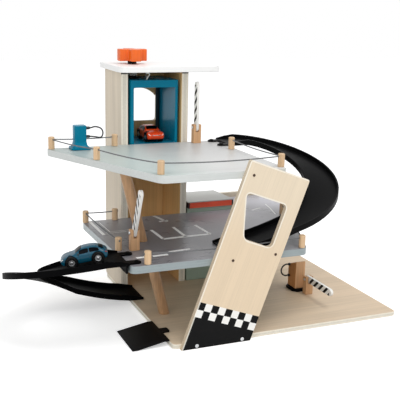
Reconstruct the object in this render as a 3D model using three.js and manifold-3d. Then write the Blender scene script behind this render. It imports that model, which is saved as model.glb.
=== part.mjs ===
// Toy parking garage with a lift, in millimetres, +Z up.
// The lift tower stands at the back left, two decks reach forward from it, a leaning board with a
// window and two leaning dowels carry their front edges, and two equal spiral ramps join the levels.
// Places are counted from the base board's front left corner, X along the front edge, Y to the back.
// The finished group is moved so that the centre of the base board's underside is the origin.
import * as THREE from 'three';
import { mergeVertices } from 'three/addons/utils/BufferGeometryUtils.js';
import Module from 'manifold-3d';

const wasm = await Module();
wasm.setup();

// Driving dimensions
const gap = 0.3;
const overrun = 4;
const storey = 136;
const board = 12;
const base = { width: 422, depth: 372, thickness: 8, corner: 9 };
const towerWall = 13;
const tower = { width: 128, depth: 100, top: 410, backWall: 8 };
const towerFront = base.depth - tower.depth;
const levelBase = base.thickness;
const levelMid = levelBase + storey;
const levelUpper = levelMid + storey;
const tiltDegrees = { panel: 20.2, column: 14, boomMid: 24 };
const roundSteps = { corner: 5, post: 12, dowel: 20, wheel: 18, screw: 10, cord: 8, ring: 14 };
const radians = THREE.MathUtils.degToRad;

// Named sizes of each piece
const roof = { left: 11, right: 52, front: 30, back: 8, thickness: 10, corner: 16 };
const upper = { frontLeft: -22, backLeft: -137, frontRight: 190, right: 182, corner: 11 };
const mid = { left: -69, backLeft: -74, frontRight: 233, slope: 0.387, corner: 12 };
const lookout = { side: 15.7, sill: 28.5, spring: 46.3, rise: 16.7, corner: 7 };
const kiosk = { left: 3, width: 94, wall: 8, fasciaLow: 8, fascia: 10.5, fasciaOut: 3, roof: 4, fall: 6 };
const rearWall = { right: 330, above: 9.5 };
const post = { radius: 5.5, height: 21, chamfer: 1, holeDrop: 4.5, inset: 7 };
const fence = { radius: 1.2, bend: 3.5, tail: 4.2 };
const panel = { left: 11, width: 112, length: 318, thickness: 8, corner: 4 };
const pane = {
  leftHigh: 12, leftLow: 35.5, right: 89, fromTop: 49.5, heightLeft: 71.5, heightRight: 73, corner: 9,
};
const column = { radius: 9, groundX: 33, groundY: 130, midX: -10, midY: 124 };
const ramp = {
  width: 68, floor: 2.5, rim: 3, height: 10, top: 34, bottom: 124, level: 20,
  lowRim: 4.2, taper: 26, tongue: 21, tongueHalf: 7, tongueOff: 22, hole: 2.9,
  narrowing: 10, straightShare: 0.35, apron: 12, apronOut: 3,
};
const rampLeftY = 39;
const rampRightY = towerFront - 31.5;
const rampRightFoot = 42.5;
const rampRightOut = 4;
const rampRadius = (rampRightY - rampRightFoot) / 2;
const entry = {
  outer: 62, front: 15, width: 83, lip: 1.4, plate: 2.6, tongue: 13, tongueWidth: 16, bend: 9,
};
const barrier = { width: 12, depth: 15, height: 34, pivot: 28.5, slot: 6, pin: 1.6, head: 2.9, bevel: 1.2 };
const boom = { length: 83, width: 12.4, tail: 7.5, thickness: 4.8 };
const barrierSpots = {
  upper: { x: 139.5, y: towerFront - 14 },
  mid: { x: -38, y: rampLeftY + ramp.width / 2 + barrier.depth / 2 },
  ground: { x: 318.5, y: 131.5 },
};
const charger = {
  x: -81, y: towerFront - 21, plateX: 33, plateY: 28, plate: 4, bodyX: 21, bodyY: 18, body: 37,
  corner: 3.5,
};
const cable = { radius: 1.25, plugRadius: 2.6, plug: 8, reach: 31, sag: 3.5 };
const cableShares = { high: 0.86, low: 0.46 };
const pump = {
  x: 311, y: 162.5, plateX: 29, plateY: 38, plate: 5, cut: 7, bodyX: 20.5, bodyY: 29, body: 52.5,
  fall: 11.5, corner: 2,
};
const hose = { radius: 1.4, reach: 18, back: 6, collar: 2.6, collarLength: 3 };
const hoseShares = { high: 0.79, low: 0.38 };
const loopShares = { shoulder: 0.28, side: 0.77, rise: 0.03, drop: 0.25 };
const lift = {
  play: 5, depth: 86, height: 118, wall: 6.5, floor: 4, beam: 13, frontInset: 2, corner: 5, roofPlate: 4,
};
const eye = { ring: 1.6, wire: 0.7, stem: 1, drop: 0.6 };
const spindle = {
  x: tower.width / 2 - 30, y: towerFront + 42, shaft: 4, bore: 4.4, boss: 8, bossHeight: 5, core: 7.6,
  flange: 12.5, flangeHeight: 1.4,
};
const liftCord = { radius: 0.7, turns: 4, pitch: 1.8 };
const knob = { reach: 27.5, lobe: 9.5, height: 21, bevel: 2 };
const toy = {
  length: 72, halfWidth: 16.5, wheel: 9.2, wheelWidth: 7.5, base: 40, axleBack: 15.5, track: 33.4,
  axle: 1.6, well: 10.4, axleBore: 2, roof: 27.5,
};
const orangeCar = { x: tower.width / 2 + 4, y: towerFront + 37, headingDegrees: -90 };
const blueCar = { along: 58.6, lift: 0.75 };

const colours = {
  plywood: '#d9c09a', shaded: '#c9ad84', roofWhite: '#f4f4f1', upperGrey: '#d7d8d5', midGrey: '#85838a',
  birch: '#e3d3b6', dowel: '#dbb083', black: '#1c1c1e', teal: '#0a7196', orange: '#e8622f',
  red: '#a33a28', green: '#5b7060', cord: '#55565a', white: '#efeeea', steel: '#b9bbbe',
  roofGrey: '#cfcfcd',
};

// Boolean helpers
function solidOf(geometry) {
  const bare = geometry.index ? geometry.toNonIndexed() : geometry.clone();
  bare.deleteAttribute('normal');
  bare.deleteAttribute('uv');
  const merged = mergeVertices(bare, 1e-4);
  return new wasm.Manifold(new wasm.Mesh({
    numProp: 3,
    vertProperties: new Float32Array(merged.attributes.position.array),
    triVerts: new Uint32Array(merged.index.array),
  }));
}

function geometryOf(solid) {
  const mesh = solid.getMesh();
  const geometry = new THREE.BufferGeometry();
  geometry.setAttribute('position', new THREE.BufferAttribute(new Float32Array(mesh.vertProperties), 3));
  geometry.setIndex(new THREE.BufferAttribute(new Uint32Array(mesh.triVerts), 1));
  return geometry;
}

function cut(body, ...tools) {
  return geometryOf(tools.reduce((solid, tool) => solid.subtract(solidOf(tool)), solidOf(body)));
}

function join(body, ...others) {
  return geometryOf(others.reduce((solid, other) => solid.add(solidOf(other)), solidOf(body)));
}

function common(body, other) {
  return geometryOf(solidOf(body).intersect(solidOf(other)));
}

// Shape helpers
function boxBetween(low, high) {
  const size = new THREE.Vector3().subVectors(high, low);
  const centre = new THREE.Vector3().addVectors(low, high).multiplyScalar(1 / 2);
  return new THREE.BoxGeometry(size.x, size.y, size.z).translate(centre.x, centre.y, centre.z);
}

function vec(x, y, z = 0) {
  return new THREE.Vector3(x, y, z);
}

// A closed outline with each corner rounded by its own radius
function roundedOutline(corners) {
  const shape = new THREE.Shape();
  corners.forEach(([x, y, radius], index) => {
    const [beforeX, beforeY] = corners.at(index - 1);
    const [afterX, afterY] = corners[(index + 1) % corners.length];
    const here = new THREE.Vector2(x, y);
    const into = new THREE.Vector2(beforeX, beforeY).sub(here).setLength(radius).add(here);
    const out = new THREE.Vector2(afterX, afterY).sub(here).setLength(radius).add(here);
    if (index === 0) shape.moveTo(into.x, into.y);
    else shape.lineTo(into.x, into.y);
    if (radius > 0) shape.quadraticCurveTo(x, y, out.x, out.y);
  });
  shape.closePath();
  return shape;
}

function rectangle(x0, y0, x1, y1, radius) {
  return roundedOutline([[x0, y0, radius], [x1, y0, radius], [x1, y1, radius], [x0, y1, radius]]);
}

// An upright opening with rounded lower corners and a round arch over its sides
function archedOutline(left, right, sill, spring, rise, corner) {
  const half = (right - left) / 2;
  const radius = (half * half + rise * rise) / (2 * rise);
  const spread = Math.asin(half / radius);
  const shape = new THREE.Shape();
  shape.moveTo(left, sill + corner);
  shape.quadraticCurveTo(left, sill, left + corner, sill);
  shape.lineTo(right - corner, sill);
  shape.quadraticCurveTo(right, sill, right, sill + corner);
  shape.lineTo(right, sill + spring);
  shape.absarc(
    left + half, sill + spring + rise - radius, radius, Math.PI / 2 - spread, Math.PI / 2 + spread,
  );
  shape.closePath();
  return shape;
}

function slab(shape, low, thickness) {
  const options = { depth: thickness, bevelEnabled: false, curveSegments: roundSteps.corner };
  return new THREE.ExtrudeGeometry(shape, options).translate(0, 0, low);
}

// A slab whose outline is drawn in X and Z and which is thick along Y
function uprightSlab(shape, nearY, thickness) {
  return slab(shape, 0, thickness).rotateX(Math.PI / 2).translate(0, nearY + thickness, 0);
}

function cylinderAlong(axis, radius, length, steps) {
  const geometry = new THREE.CylinderGeometry(radius, radius, length, steps);
  if (axis === 'x') geometry.rotateZ(Math.PI / 2);
  if (axis === 'z') geometry.rotateX(Math.PI / 2);
  return geometry;
}

// A solid through a row of rings that all have the same number of points
function loft(rings) {
  const count = rings[0].length;
  const points = rings.flat();
  const triangles = [];
  for (let ring = 0; ring + 1 < rings.length; ring += 1) {
    for (let side = 0; side < count; side += 1) {
      const next = (side + 1) % count;
      const [a, b] = [ring * count + side, ring * count + next];
      triangles.push(a, b, b + count, a, b + count, a + count);
    }
  }
  const capStart = (rings.length - 1) * count;
  flatFaces(rings[0]).forEach(([a, b, c]) => triangles.push(a, c, b));
  flatFaces(rings.at(-1)).forEach(([a, b, c]) => triangles.push(capStart + a, capStart + b, capStart + c));
  const geometry = new THREE.BufferGeometry().setFromPoints(points);
  geometry.setIndex(triangles);
  return geometry;
}

// Triangles that fill a flat ring, turned the way that the ring runs
function flatFaces(ring) {
  const [origin] = ring;
  const normal = ring.reduce((sum, point, index) => {
    const next = ring[(index + 1) % ring.length];
    return sum.add(vec(0, 0).crossVectors(point.clone().sub(origin), next.clone().sub(origin)));
  }, vec(0, 0)).normalize();
  const across = ring[1].clone().sub(origin).normalize();
  const upward = vec(0, 0).crossVectors(normal, across);
  const flat = ring.map((point) => {
    const offset = point.clone().sub(origin);
    return new THREE.Vector2(offset.dot(across), offset.dot(upward));
  });
  return THREE.ShapeUtils.triangulateShape(flat, []);
}

// A round cord along a row of points, its rings square to the route
function cordAlong(points, radius, steps = roundSteps.cord) {
  let side = vec(0, 0);
  const rings = points.map((point, index) => {
    const before = points[Math.max(index - 1, 0)];
    const after = points[Math.min(index + 1, points.length - 1)];
    const forward = after.clone().sub(before).normalize();
    if (index === 0) {
      const upright = Math.abs(forward.z) < Math.SQRT1_2 ? vec(0, 0, 1) : vec(1, 0);
      side.crossVectors(upright, forward).normalize();
    }
    side = side.clone().addScaledVector(forward, -side.dot(forward)).normalize();
    const third = vec(0, 0).crossVectors(forward, side);
    return Array.from({ length: steps }, (_, step) => {
      const angle = (step / steps) * 2 * Math.PI;
      return point.clone().addScaledVector(side, radius * Math.cos(angle))
        .addScaledVector(third, radius * Math.sin(angle));
    });
  });
  return loft(rings);
}

// A taut line through the given stops, bent tightly at each inner one
function bentRoute(stops, bend) {
  const route = [stops[0]];
  for (let index = 1; index + 1 < stops.length; index += 1) {
    const here = stops[index];
    const into = stops[index - 1].clone().sub(here).setLength(bend).add(here);
    const out = stops[index + 1].clone().sub(here).setLength(bend).add(here);
    route.push(...new THREE.QuadraticBezierCurve3(into, here, out).getPoints(roundSteps.corner));
  }
  route.push(stops.at(-1));
  return route;
}

const garage = new THREE.Group();

function add(group, name, geometry, colour, roughness, metalness = 0) {
  const material = new THREE.MeshStandardMaterial({ color: colour, roughness, metalness });
  const mesh = new THREE.Mesh(geometry, material);
  mesh.name = name;
  group.add(mesh);
  return mesh;
}

// Base board and tower
function baseBoard() {
  const outline = rectangle(0, 0, base.width, base.depth, base.corner);
  return slab(outline, 0, base.thickness);
}

function towerSide(left) {
  return boxBetween(
    vec(left, towerFront, levelBase + gap),
    vec(left + towerWall, base.depth, tower.top),
  );
}

function towerBack() {
  const left = towerWall + gap;
  const right = tower.width - towerWall - gap;
  const wall = boxBetween(
    vec(left, base.depth - tower.backWall, levelBase + gap),
    vec(right, base.depth, tower.top),
  );
  const hole = archedOutline(
    left + lookout.side, right - lookout.side, levelUpper + lookout.sill,
    lookout.spring, lookout.rise, lookout.corner,
  );
  return cut(wall, uprightSlab(hole, base.depth - tower.backWall - overrun, tower.backWall + 2 * overrun));
}

const roofLow = tower.top + gap;
const roofTop = roofLow + roof.thickness;

function roofPlate() {
  const outline = rectangle(
    -roof.left, towerFront - roof.front, tower.width + roof.right, base.depth + roof.back, roof.corner,
  );
  const bore = cylinderAlong('z', spindle.bore, roof.thickness + 2 * overrun, roundSteps.dowel);
  return cut(
    slab(outline, roofLow, roof.thickness),
    bore.translate(spindle.x, spindle.y, roofLow + roof.thickness / 2),
  );
}

// Decks
const midRightAt = (y) => mid.frontRight + y * mid.slope;
const kioskLeft = tower.width + kiosk.left;
const kioskRight = kioskLeft + kiosk.width;
const rearFace = base.depth - tower.backWall - gap;

function midDeck() {
  const back = towerFront - gap;
  const inner = kioskRight + kiosk.left;
  const outline = roundedOutline([
    [mid.left, 0, mid.corner], [mid.frontRight, 0, mid.corner],
    [midRightAt(rearFace), rearFace, mid.corner], [inner, rearFace, 0], [inner, back, 0],
    [mid.backLeft, back, mid.corner],
  ]);
  return slab(outline, levelMid - board, board);
}

function upperDeck() {
  const back = towerFront - gap;
  const outline = roundedOutline([
    [upper.frontLeft, 0, upper.corner], [upper.frontRight, 0, upper.corner], [upper.right, back, 0],
    [upper.backLeft, back, upper.corner],
  ]);
  return slab(outline, levelUpper - board, board);
}

// Leaning front board with its window
function frontPanel() {
  const lean = radians(tiltDegrees.panel);
  const reach = panel.width * Math.tan(lean) + overrun;
  const boardShape = rectangle(0, -reach, panel.width, panel.length, panel.corner);
  const high = panel.length - pane.fromTop;
  const opening = roundedOutline([
    [pane.leftLow, high - pane.heightLeft, pane.corner], [pane.right, high - pane.heightRight, pane.corner],
    [pane.right, high, pane.corner], [pane.leftHigh, high, pane.corner],
  ]);
  boardShape.holes.push(opening);
  const leaning = slab(boardShape, 0, panel.thickness).rotateZ(-lean);
  const upright = leaning.rotateX(Math.PI / 2).translate(panel.left, -gap, 0);
  const below = boxBetween(
    vec(-panel.length, -panel.length, -panel.length),
    vec(panel.length, panel.length, 0),
  );
  return cut(upright, below);
}

// Leaning dowels between the levels
function leaningDowel(x, y, low, high) {
  const lean = radians(tiltDegrees.column);
  const reach = (high - low) * 2;
  const dowel = cylinderAlong('z', column.radius, reach, roundSteps.dowel);
  dowel.rotateY(-lean).translate(x, y, low);
  const space = boxBetween(
    vec(x - reach, y - reach, low + gap),
    vec(x + reach, y + reach, high - gap),
  );
  return common(dowel, space);
}

// Fence posts and the cords through them
const upperLeftAt = (y) => upper.frontLeft + (y / towerFront) * (upper.backLeft - upper.frontLeft);
const middlePostShare = 0.555;
const rampSideInset = 92;
const upperPostY = {
  back: towerFront - post.inset, middle: towerFront * middlePostShare, lane: towerFront - rampSideInset,
};
const upperPosts = [
  vec(-gap - 2 * post.inset, upperPostY.back),
  vec(upperLeftAt(upperPostY.back) + post.inset, upperPostY.back),
  vec(upperLeftAt(upperPostY.middle) + post.inset, upperPostY.middle),
  vec(upper.frontLeft + post.inset / 2, 2 * post.inset),
  vec(upper.frontRight - post.radius, 2 * post.inset),
  vec(upper.right - post.inset, upperPostY.lane),
];
const midPostY = {
  front: post.radius + 2 * gap, back: towerFront - post.inset,
  lane: rampLeftY + ramp.width / 2 + barrier.depth, right: towerFront - rampSideInset + 4 * post.inset,
};
const midPosts = [
  vec(-gap - 2 * post.inset, midPostY.back), vec(mid.backLeft + post.radius, midPostY.back),
  vec(mid.left + post.inset, midPostY.lane), vec(mid.left + 4 * post.inset, midPostY.front),
  vec(mid.frontRight - post.inset, midPostY.front),
  vec(midRightAt(midPostY.right) - 2 * post.inset, midPostY.right),
];

function cordStops(places, level) {
  const height = level + gap + post.height - post.holeDrop;
  const stops = places.map((place) => vec(place.x, place.y, height));
  const lengthen = (end, inner) => end.clone().sub(inner).setLength(fence.tail);
  stops[0] = stops[0].clone().add(lengthen(stops[0], stops[1]));
  stops.push(stops.pop().clone().add(lengthen(stops.at(-1), stops.at(-2))));
  return stops;
}

function fenceCord(places, level, clearance = 0) {
  return cordAlong(bentRoute(cordStops(places, level), fence.bend), fence.radius + clearance);
}

function fencePost(place, level, sleeves) {
  const profile = [
    [0, 0], [post.radius, 0], [post.radius, post.height - post.chamfer],
    [post.radius - post.chamfer, post.height], [0, post.height],
  ].map(([x, y]) => new THREE.Vector2(x, y));
  const turned = new THREE.LatheGeometry(profile, roundSteps.post).rotateX(Math.PI / 2);
  return cut(turned.translate(place.x, place.y, level + gap), ...sleeves);
}

// Spiral ramp: half a turn down one storey, a channel with raised rims that narrows in the turn
const rampArc = Math.PI * rampRadius;
const rampLength = ramp.top + rampArc + ramp.bottom;
const rampRun = rampArc + ramp.bottom - ramp.level;

function rampFall(along) {
  const share = THREE.MathUtils.clamp((along - ramp.top) / rampRun, 0, 1);
  const eased = share * share * (3 - 2 * share);
  return -storey * THREE.MathUtils.lerp(eased, share, ramp.straightShare);
}

// The ramp's centre line leaves the upper deck along -X and turns towards +Y
function rampPlace(along) {
  const turned = THREE.MathUtils.clamp((along - ramp.top) / rampRadius, 0, Math.PI);
  const straight = Math.min(along, ramp.top);
  const after = Math.max(along - ramp.top - rampArc, 0);
  const x = -straight - rampRadius * Math.sin(turned) + after;
  const y = rampRadius * (1 - Math.cos(turned));
  return { point: vec(x, y, rampFall(along)), turned };
}

function rimHeight(along) {
  const nearEnd = Math.min(along, rampLength - along) / ramp.taper;
  return THREE.MathUtils.lerp(ramp.lowRim, ramp.height, Math.min(nearEnd, 1));
}

function rampStations() {
  const easing = 5;
  const arcSteps = 30;
  const stations = [];
  for (let step = 0; step <= 2; step += 1) stations.push((ramp.top * step) / 2);
  for (let step = 1; step <= arcSteps; step += 1) stations.push(ramp.top + (rampArc * step) / arcSteps);
  const eased = rampLength - ramp.taper;
  const start = ramp.top + rampArc;
  for (let step = 1; step <= easing; step += 1) stations.push(start + ((eased - start) * step) / easing);
  stations.push(rampLength);
  return stations;
}

function rampTongue(offset) {
  const half = ramp.tongueHalf;
  const inside = ramp.taper / 2;
  const outline = new THREE.Shape();
  outline.moveTo(-inside, offset - half);
  outline.lineTo(ramp.tongue - half, offset - half);
  outline.absarc(ramp.tongue - half, offset, half, -Math.PI / 2, Math.PI / 2);
  outline.lineTo(-inside, offset + half);
  outline.closePath();
  const hole = new THREE.Path();
  hole.absarc(ramp.tongue - half, offset, ramp.hole, 0, 2 * Math.PI);
  outline.holes.push(hole);
  return slab(outline, 0, ramp.floor);
}

function spiralRamp() {
  const half = ramp.width / 2;
  const rings = rampStations().map((along) => {
    const { point, turned } = rampPlace(along);
    const side = vec(Math.sin(turned), Math.cos(turned));
    const high = rimHeight(along);
    const near = half - ramp.narrowing * Math.sin(turned);
    const section = [
      [-half, 0], [-half, high], [ramp.rim - half, high], [ramp.rim - half, ramp.floor],
      [near - ramp.rim, ramp.floor], [near - ramp.rim, high], [near, high], [near, 0],
    ];
    return section.map(([across, up]) => point.clone().addScaledVector(side, across).add(vec(0, 0, up)));
  });
  const apron = boxBetween(
    vec(-ramp.apronOut - ramp.rim, -half, -ramp.apron), vec(-ramp.apronOut, half, ramp.floor / 2),
  );
  return join(loft(rings), rampTongue(-ramp.tongueOff), rampTongue(ramp.tongueOff), apron);
}

// Short black plate that leads from the floor onto the base board
function entryRamp() {
  const rise = levelBase + gap;
  const side = new THREE.Shape();
  side.moveTo(-entry.outer, 0);
  side.lineTo(-entry.outer + entry.bend, 0);
  side.lineTo(-entry.bend, rise);
  side.lineTo(-gap, rise);
  side.lineTo(-gap, rise + entry.plate);
  side.lineTo(-entry.bend, rise + entry.plate);
  side.lineTo(-entry.outer, entry.lip);
  side.closePath();
  const plate = uprightSlab(side, entry.front, entry.width);
  const middle = entry.front + entry.width / 2;
  const tongue = rectangle(
    -entry.bend, middle - entry.tongueWidth / 2, entry.tongue, middle + entry.tongueWidth / 2,
    entry.tongueWidth / 4,
  );
  return join(plate, slab(tongue, rise, entry.plate));
}

// Kiosk that rises beside the tower through the mid deck, and the wall behind it
function kioskWalls() {
  const back = rearFace;
  const low = levelBase + gap;
  const high = levelMid + kiosk.fasciaLow;
  const outer = boxBetween(vec(kioskLeft, towerFront, low), vec(kioskRight, back, high));
  const hollow = boxBetween(
    vec(kioskLeft - overrun, towerFront + kiosk.wall, low - overrun),
    vec(kioskRight - kiosk.wall, back + overrun, high + overrun),
  );
  return cut(outer, hollow);
}

const fasciaTop = levelMid + kiosk.fasciaLow + gap + kiosk.fascia;

function kioskFascia() {
  return boxBetween(
    vec(kioskLeft, towerFront - kiosk.fasciaOut, levelMid + kiosk.fasciaLow + gap),
    vec(kioskRight, towerFront + kiosk.wall, fasciaTop),
  );
}

function kioskRoof() {
  const front = towerFront - kiosk.fasciaOut;
  const low = fasciaTop + gap;
  const profile = new THREE.Shape();
  profile.moveTo(0, low);
  profile.lineTo(towerFront + kiosk.wall - front, low);
  profile.lineTo(rearFace - front, low - kiosk.fall);
  profile.lineTo(rearFace - front, low - kiosk.fall + kiosk.roof);
  profile.lineTo(0, low + kiosk.roof / 2);
  profile.closePath();
  const plate = slab(profile, 0, kiosk.width).rotateX(Math.PI / 2).rotateZ(Math.PI / 2);
  return plate.translate(kioskLeft, front, 0);
}

function rearBoard() {
  return boxBetween(
    vec(tower.width + gap, base.depth - tower.backWall, levelBase + gap),
    vec(rearWall.right, base.depth, levelMid + rearWall.above),
  );
}

// Barriers: a forked block, a cross pin and a striped boom between the prongs
function barrierBlock() {
  const outline = rectangle(
    -barrier.width / 2, -barrier.depth / 2, barrier.width / 2, barrier.depth / 2, barrier.bevel,
  );
  const slotHalf = barrier.slot / 2;
  const slot = boxBetween(
    vec(-barrier.width, -slotHalf, barrier.pivot - boom.tail - 2 * gap),
    vec(barrier.width, slotHalf, barrier.height + overrun),
  );
  const bore = cylinderAlong('y', barrier.pin + gap, 2 * barrier.depth, roundSteps.screw);
  return cut(slab(outline, 0, barrier.height), slot, bore.translate(0, 0, barrier.pivot));
}

function barrierPin() {
  const half = barrier.depth / 2;
  const domed = barrier.head / 2;
  const profile = [
    [0, -half], [barrier.pin, -half], [barrier.pin, half + gap], [barrier.head, half + gap],
    [barrier.head - domed / 2, half + domed], [0, half + domed],
  ].map(([x, y]) => new THREE.Vector2(x, y));
  return new THREE.LatheGeometry(profile, roundSteps.screw).rotateX(Math.PI).translate(0, 0, barrier.pivot);
}

// The boom stands upright from the pivot at its zero tilt
function barrierBoom(tiltAngle) {
  const half = boom.width / 2;
  const outline = new THREE.Shape();
  outline.moveTo(half, -boom.tail + half);
  outline.lineTo(half, boom.length - half);
  outline.absarc(0, boom.length - half, half, 0, Math.PI);
  outline.lineTo(-half, -boom.tail + half);
  outline.absarc(0, -boom.tail + half, half, Math.PI, 2 * Math.PI);
  const hole = new THREE.Path();
  hole.absarc(0, 0, barrier.pin + gap, 0, 2 * Math.PI);
  outline.holes.push(hole);
  const flat = uprightSlab(outline, -boom.thickness / 2, boom.thickness);
  return flat.rotateY(tiltAngle).translate(0, 0, barrier.pivot);
}

const barriers = [
  { name: 'upper', level: levelUpper, tilt: 0 },
  { name: 'mid', level: levelMid, tilt: radians(tiltDegrees.boomMid) },
  { name: 'ground', level: levelBase, tilt: Math.PI / 2 },
];

// Each boom swings down towards the front edge
function stand(geometry, { name, level }) {
  const spot = barrierSpots[name];
  return geometry.rotateZ(-Math.PI / 2).translate(spot.x, spot.y, level + gap);
}

// Charging station on the upper deck, with its cable looped from plug to plug
function chargerPlate() {
  const outline = rectangle(
    charger.x - charger.plateX / 2, charger.y - charger.plateY / 2,
    charger.x + charger.plateX / 2, charger.y + charger.plateY / 2, charger.corner,
  );
  return slab(outline, levelUpper + gap, charger.plate);
}

const chargerLow = levelUpper + 2 * gap + charger.plate;
const chargerSide = charger.x + charger.bodyX / 2;
const cableHigh = chargerLow + cableShares.high * charger.body;
const cableLow = chargerLow + cableShares.low * charger.body;

function chargerBody() {
  const outline = rectangle(
    charger.x - charger.bodyX / 2, charger.y - charger.bodyY / 2,
    chargerSide, charger.y + charger.bodyY / 2, charger.corner,
  );
  return slab(outline, chargerLow, charger.body);
}

function chargerPlugs() {
  return [cableHigh, cableLow].map((height) => {
    const plug = cylinderAlong('x', cable.plugRadius, cable.plug, roundSteps.post);
    return plug.translate(chargerSide + gap + cable.plug / 2, charger.y, height);
  });
}

// A loose loop that leaves its upper end level, bellies out and comes back below
function loopBetween(high, low, reach, sag) {
  const drop = high.z - low.z;
  const out = (from, share, z) => vec(from.x + reach * share, from.y, z);
  return new THREE.CatmullRomCurve3([
    high, out(high, loopShares.shoulder, high.z + drop * loopShares.rise),
    out(high, loopShares.side, high.z - drop * loopShares.drop),
    out(high, 1, (high.z + low.z) / 2 + sag), out(low, loopShares.side, low.z + sag),
    out(low, loopShares.shoulder, low.z + sag / 2), low,
  ], false, 'centripetal');
}

function chargerCable() {
  const start = chargerSide + cable.plug - 2 * gap;
  const reach = cable.reach - cable.plug;
  const curve = loopBetween(
    vec(start, charger.y, cableHigh), vec(start, charger.y, cableLow), reach, -cable.sag,
  );
  return join(cordAlong(curve.getPoints(roundSteps.wheel), cable.radius), ...chargerPlugs());
}

// Petrol pump on the base board
function pumpPlate() {
  const halfX = pump.plateX / 2;
  const halfY = pump.plateY / 2;
  const outline = roundedOutline([
    [-halfX + pump.cut, -halfY, 0], [halfX - pump.cut, -halfY, 0], [halfX, -halfY + pump.cut, 0],
    [halfX, halfY - pump.cut, 0], [halfX - pump.cut, halfY, 0], [-halfX + pump.cut, halfY, 0],
    [-halfX, halfY - pump.cut, 0], [-halfX, -halfY + pump.cut, 0],
  ]);
  return slab(outline, levelBase + gap, pump.plate).translate(pump.x, pump.y, 0);
}

const pumpLow = levelBase + 2 * gap + pump.plate;
const pumpSide = pump.x - pump.bodyX / 2;
const hoseY = pump.y + pump.bodyY / 2 - hose.back;
const hoseHigh = pumpLow + hoseShares.high * pump.body;
const hoseLow = pumpLow + hoseShares.low * pump.body;

function pumpBody() {
  const outline = rectangle(
    pumpSide, pump.y - pump.bodyY / 2, pump.x + pump.bodyX / 2, pump.y + pump.bodyY / 2, pump.corner,
  );
  const block = slab(outline, pumpLow, pump.body);
  const front = pump.y - pump.bodyY / 2;
  const above = new THREE.Shape();
  above.moveTo(0, pumpLow + pump.body);
  above.lineTo(pump.bodyY, pumpLow + pump.body - pump.fall);
  above.lineTo(pump.bodyY + overrun, pumpLow + pump.body - pump.fall);
  above.lineTo(pump.bodyY + overrun, pumpLow + pump.body + overrun);
  above.lineTo(0, pumpLow + pump.body + overrun);
  above.closePath();
  const wedge = slab(above, 0, pump.bodyX + 2 * overrun).rotateX(Math.PI / 2).rotateZ(Math.PI / 2);
  return cut(block, wedge.translate(pumpSide - overrun, front, 0));
}

function pumpHose() {
  const start = pumpSide - gap;
  const curve = loopBetween(vec(start, hoseY, hoseHigh), vec(start, hoseY, hoseLow), -hose.reach, 0);
  const collars = [hoseHigh, hoseLow].map((height) => {
    const collar = cylinderAlong('x', hose.collar, hose.collarLength, roundSteps.post);
    return collar.translate(start - hose.collarLength / 2, hoseY, height);
  });
  return join(cordAlong(curve.getPoints(roundSteps.wheel), hose.radius), ...collars);
}

// Lift: a moulded cabin that hangs on a cord from the winding spindle under the roof
const liftLow = levelUpper - lift.floor;
const liftTop = liftLow + lift.height;
const liftX = tower.width / 2;
const liftWidth = tower.width - 2 * (towerWall + lift.play);
const liftFront = towerFront + lift.frontInset;

function liftCabin() {
  const half = liftWidth / 2;
  const innerHalf = half - lift.wall;
  const body = slab(
    rectangle(liftX - half, liftFront, liftX + half, liftFront + lift.depth, lift.corner),
    liftLow, lift.height,
  );
  const hollow = boxBetween(
    vec(liftX - innerHalf, liftFront + lift.wall, levelUpper),
    vec(liftX + innerHalf, liftFront + lift.depth - lift.wall, liftTop - lift.roofPlate),
  );
  const doorway = rectangle(
    liftX - innerHalf, levelUpper, liftX + innerHalf, liftTop - lift.beam, lift.corner / 2,
  );
  return cut(body, hollow, uprightSlab(doorway, liftFront - overrun, lift.depth + 2 * overrun));
}

const eyeHeight = 2 * (eye.ring + eye.wire) + eye.drop;

// A ring on a short stem, standing on its own base at the origin, its hole along Y
function eyeRing() {
  const ring = new THREE.TorusGeometry(eye.ring, eye.wire, roundSteps.cord, roundSteps.ring);
  const stem = cylinderAlong('z', eye.stem, eye.drop + eye.wire, roundSteps.cord);
  ring.rotateX(Math.PI / 2).translate(0, 0, eye.drop + eye.ring + eye.wire);
  return join(ring, stem.translate(0, 0, (eye.drop + eye.wire) / 2));
}

const liftEyeTop = liftTop + gap + eyeHeight;
const windingRadius = spindle.core + gap + liftCord.radius;
const hookY = spindle.y + windingRadius;

// The guide hangs from the roof beside the strand that drops to the lift
const guideX = liftX - eye.ring;
const guideHeight = tower.top - eye.drop - eye.ring - eye.wire;

function guideEye() {
  return eyeRing().rotateX(Math.PI).rotateZ(Math.PI / 2).translate(guideX, hookY, tower.top);
}

function windingSpindle() {
  const low = liftTop + 2 * gap;
  const high = roofTop + gap + spindle.bossHeight;
  const spool = roofLow - gap;
  const profile = [
    [0, low], [spindle.flange, low], [spindle.flange, low + spindle.flangeHeight],
    [spindle.core, low + spindle.flangeHeight], [spindle.core, spool - spindle.flangeHeight],
    [spindle.flange, spool - spindle.flangeHeight], [spindle.flange, spool], [spindle.shaft, spool],
    [spindle.shaft, roofTop + gap], [spindle.boss, roofTop + gap], [spindle.boss, high], [0, high],
  ].map(([x, y]) => new THREE.Vector2(x, y));
  const turned = new THREE.LatheGeometry(profile, roundSteps.dowel).rotateX(Math.PI / 2);
  return turned.translate(spindle.x, spindle.y, 0);
}

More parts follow.
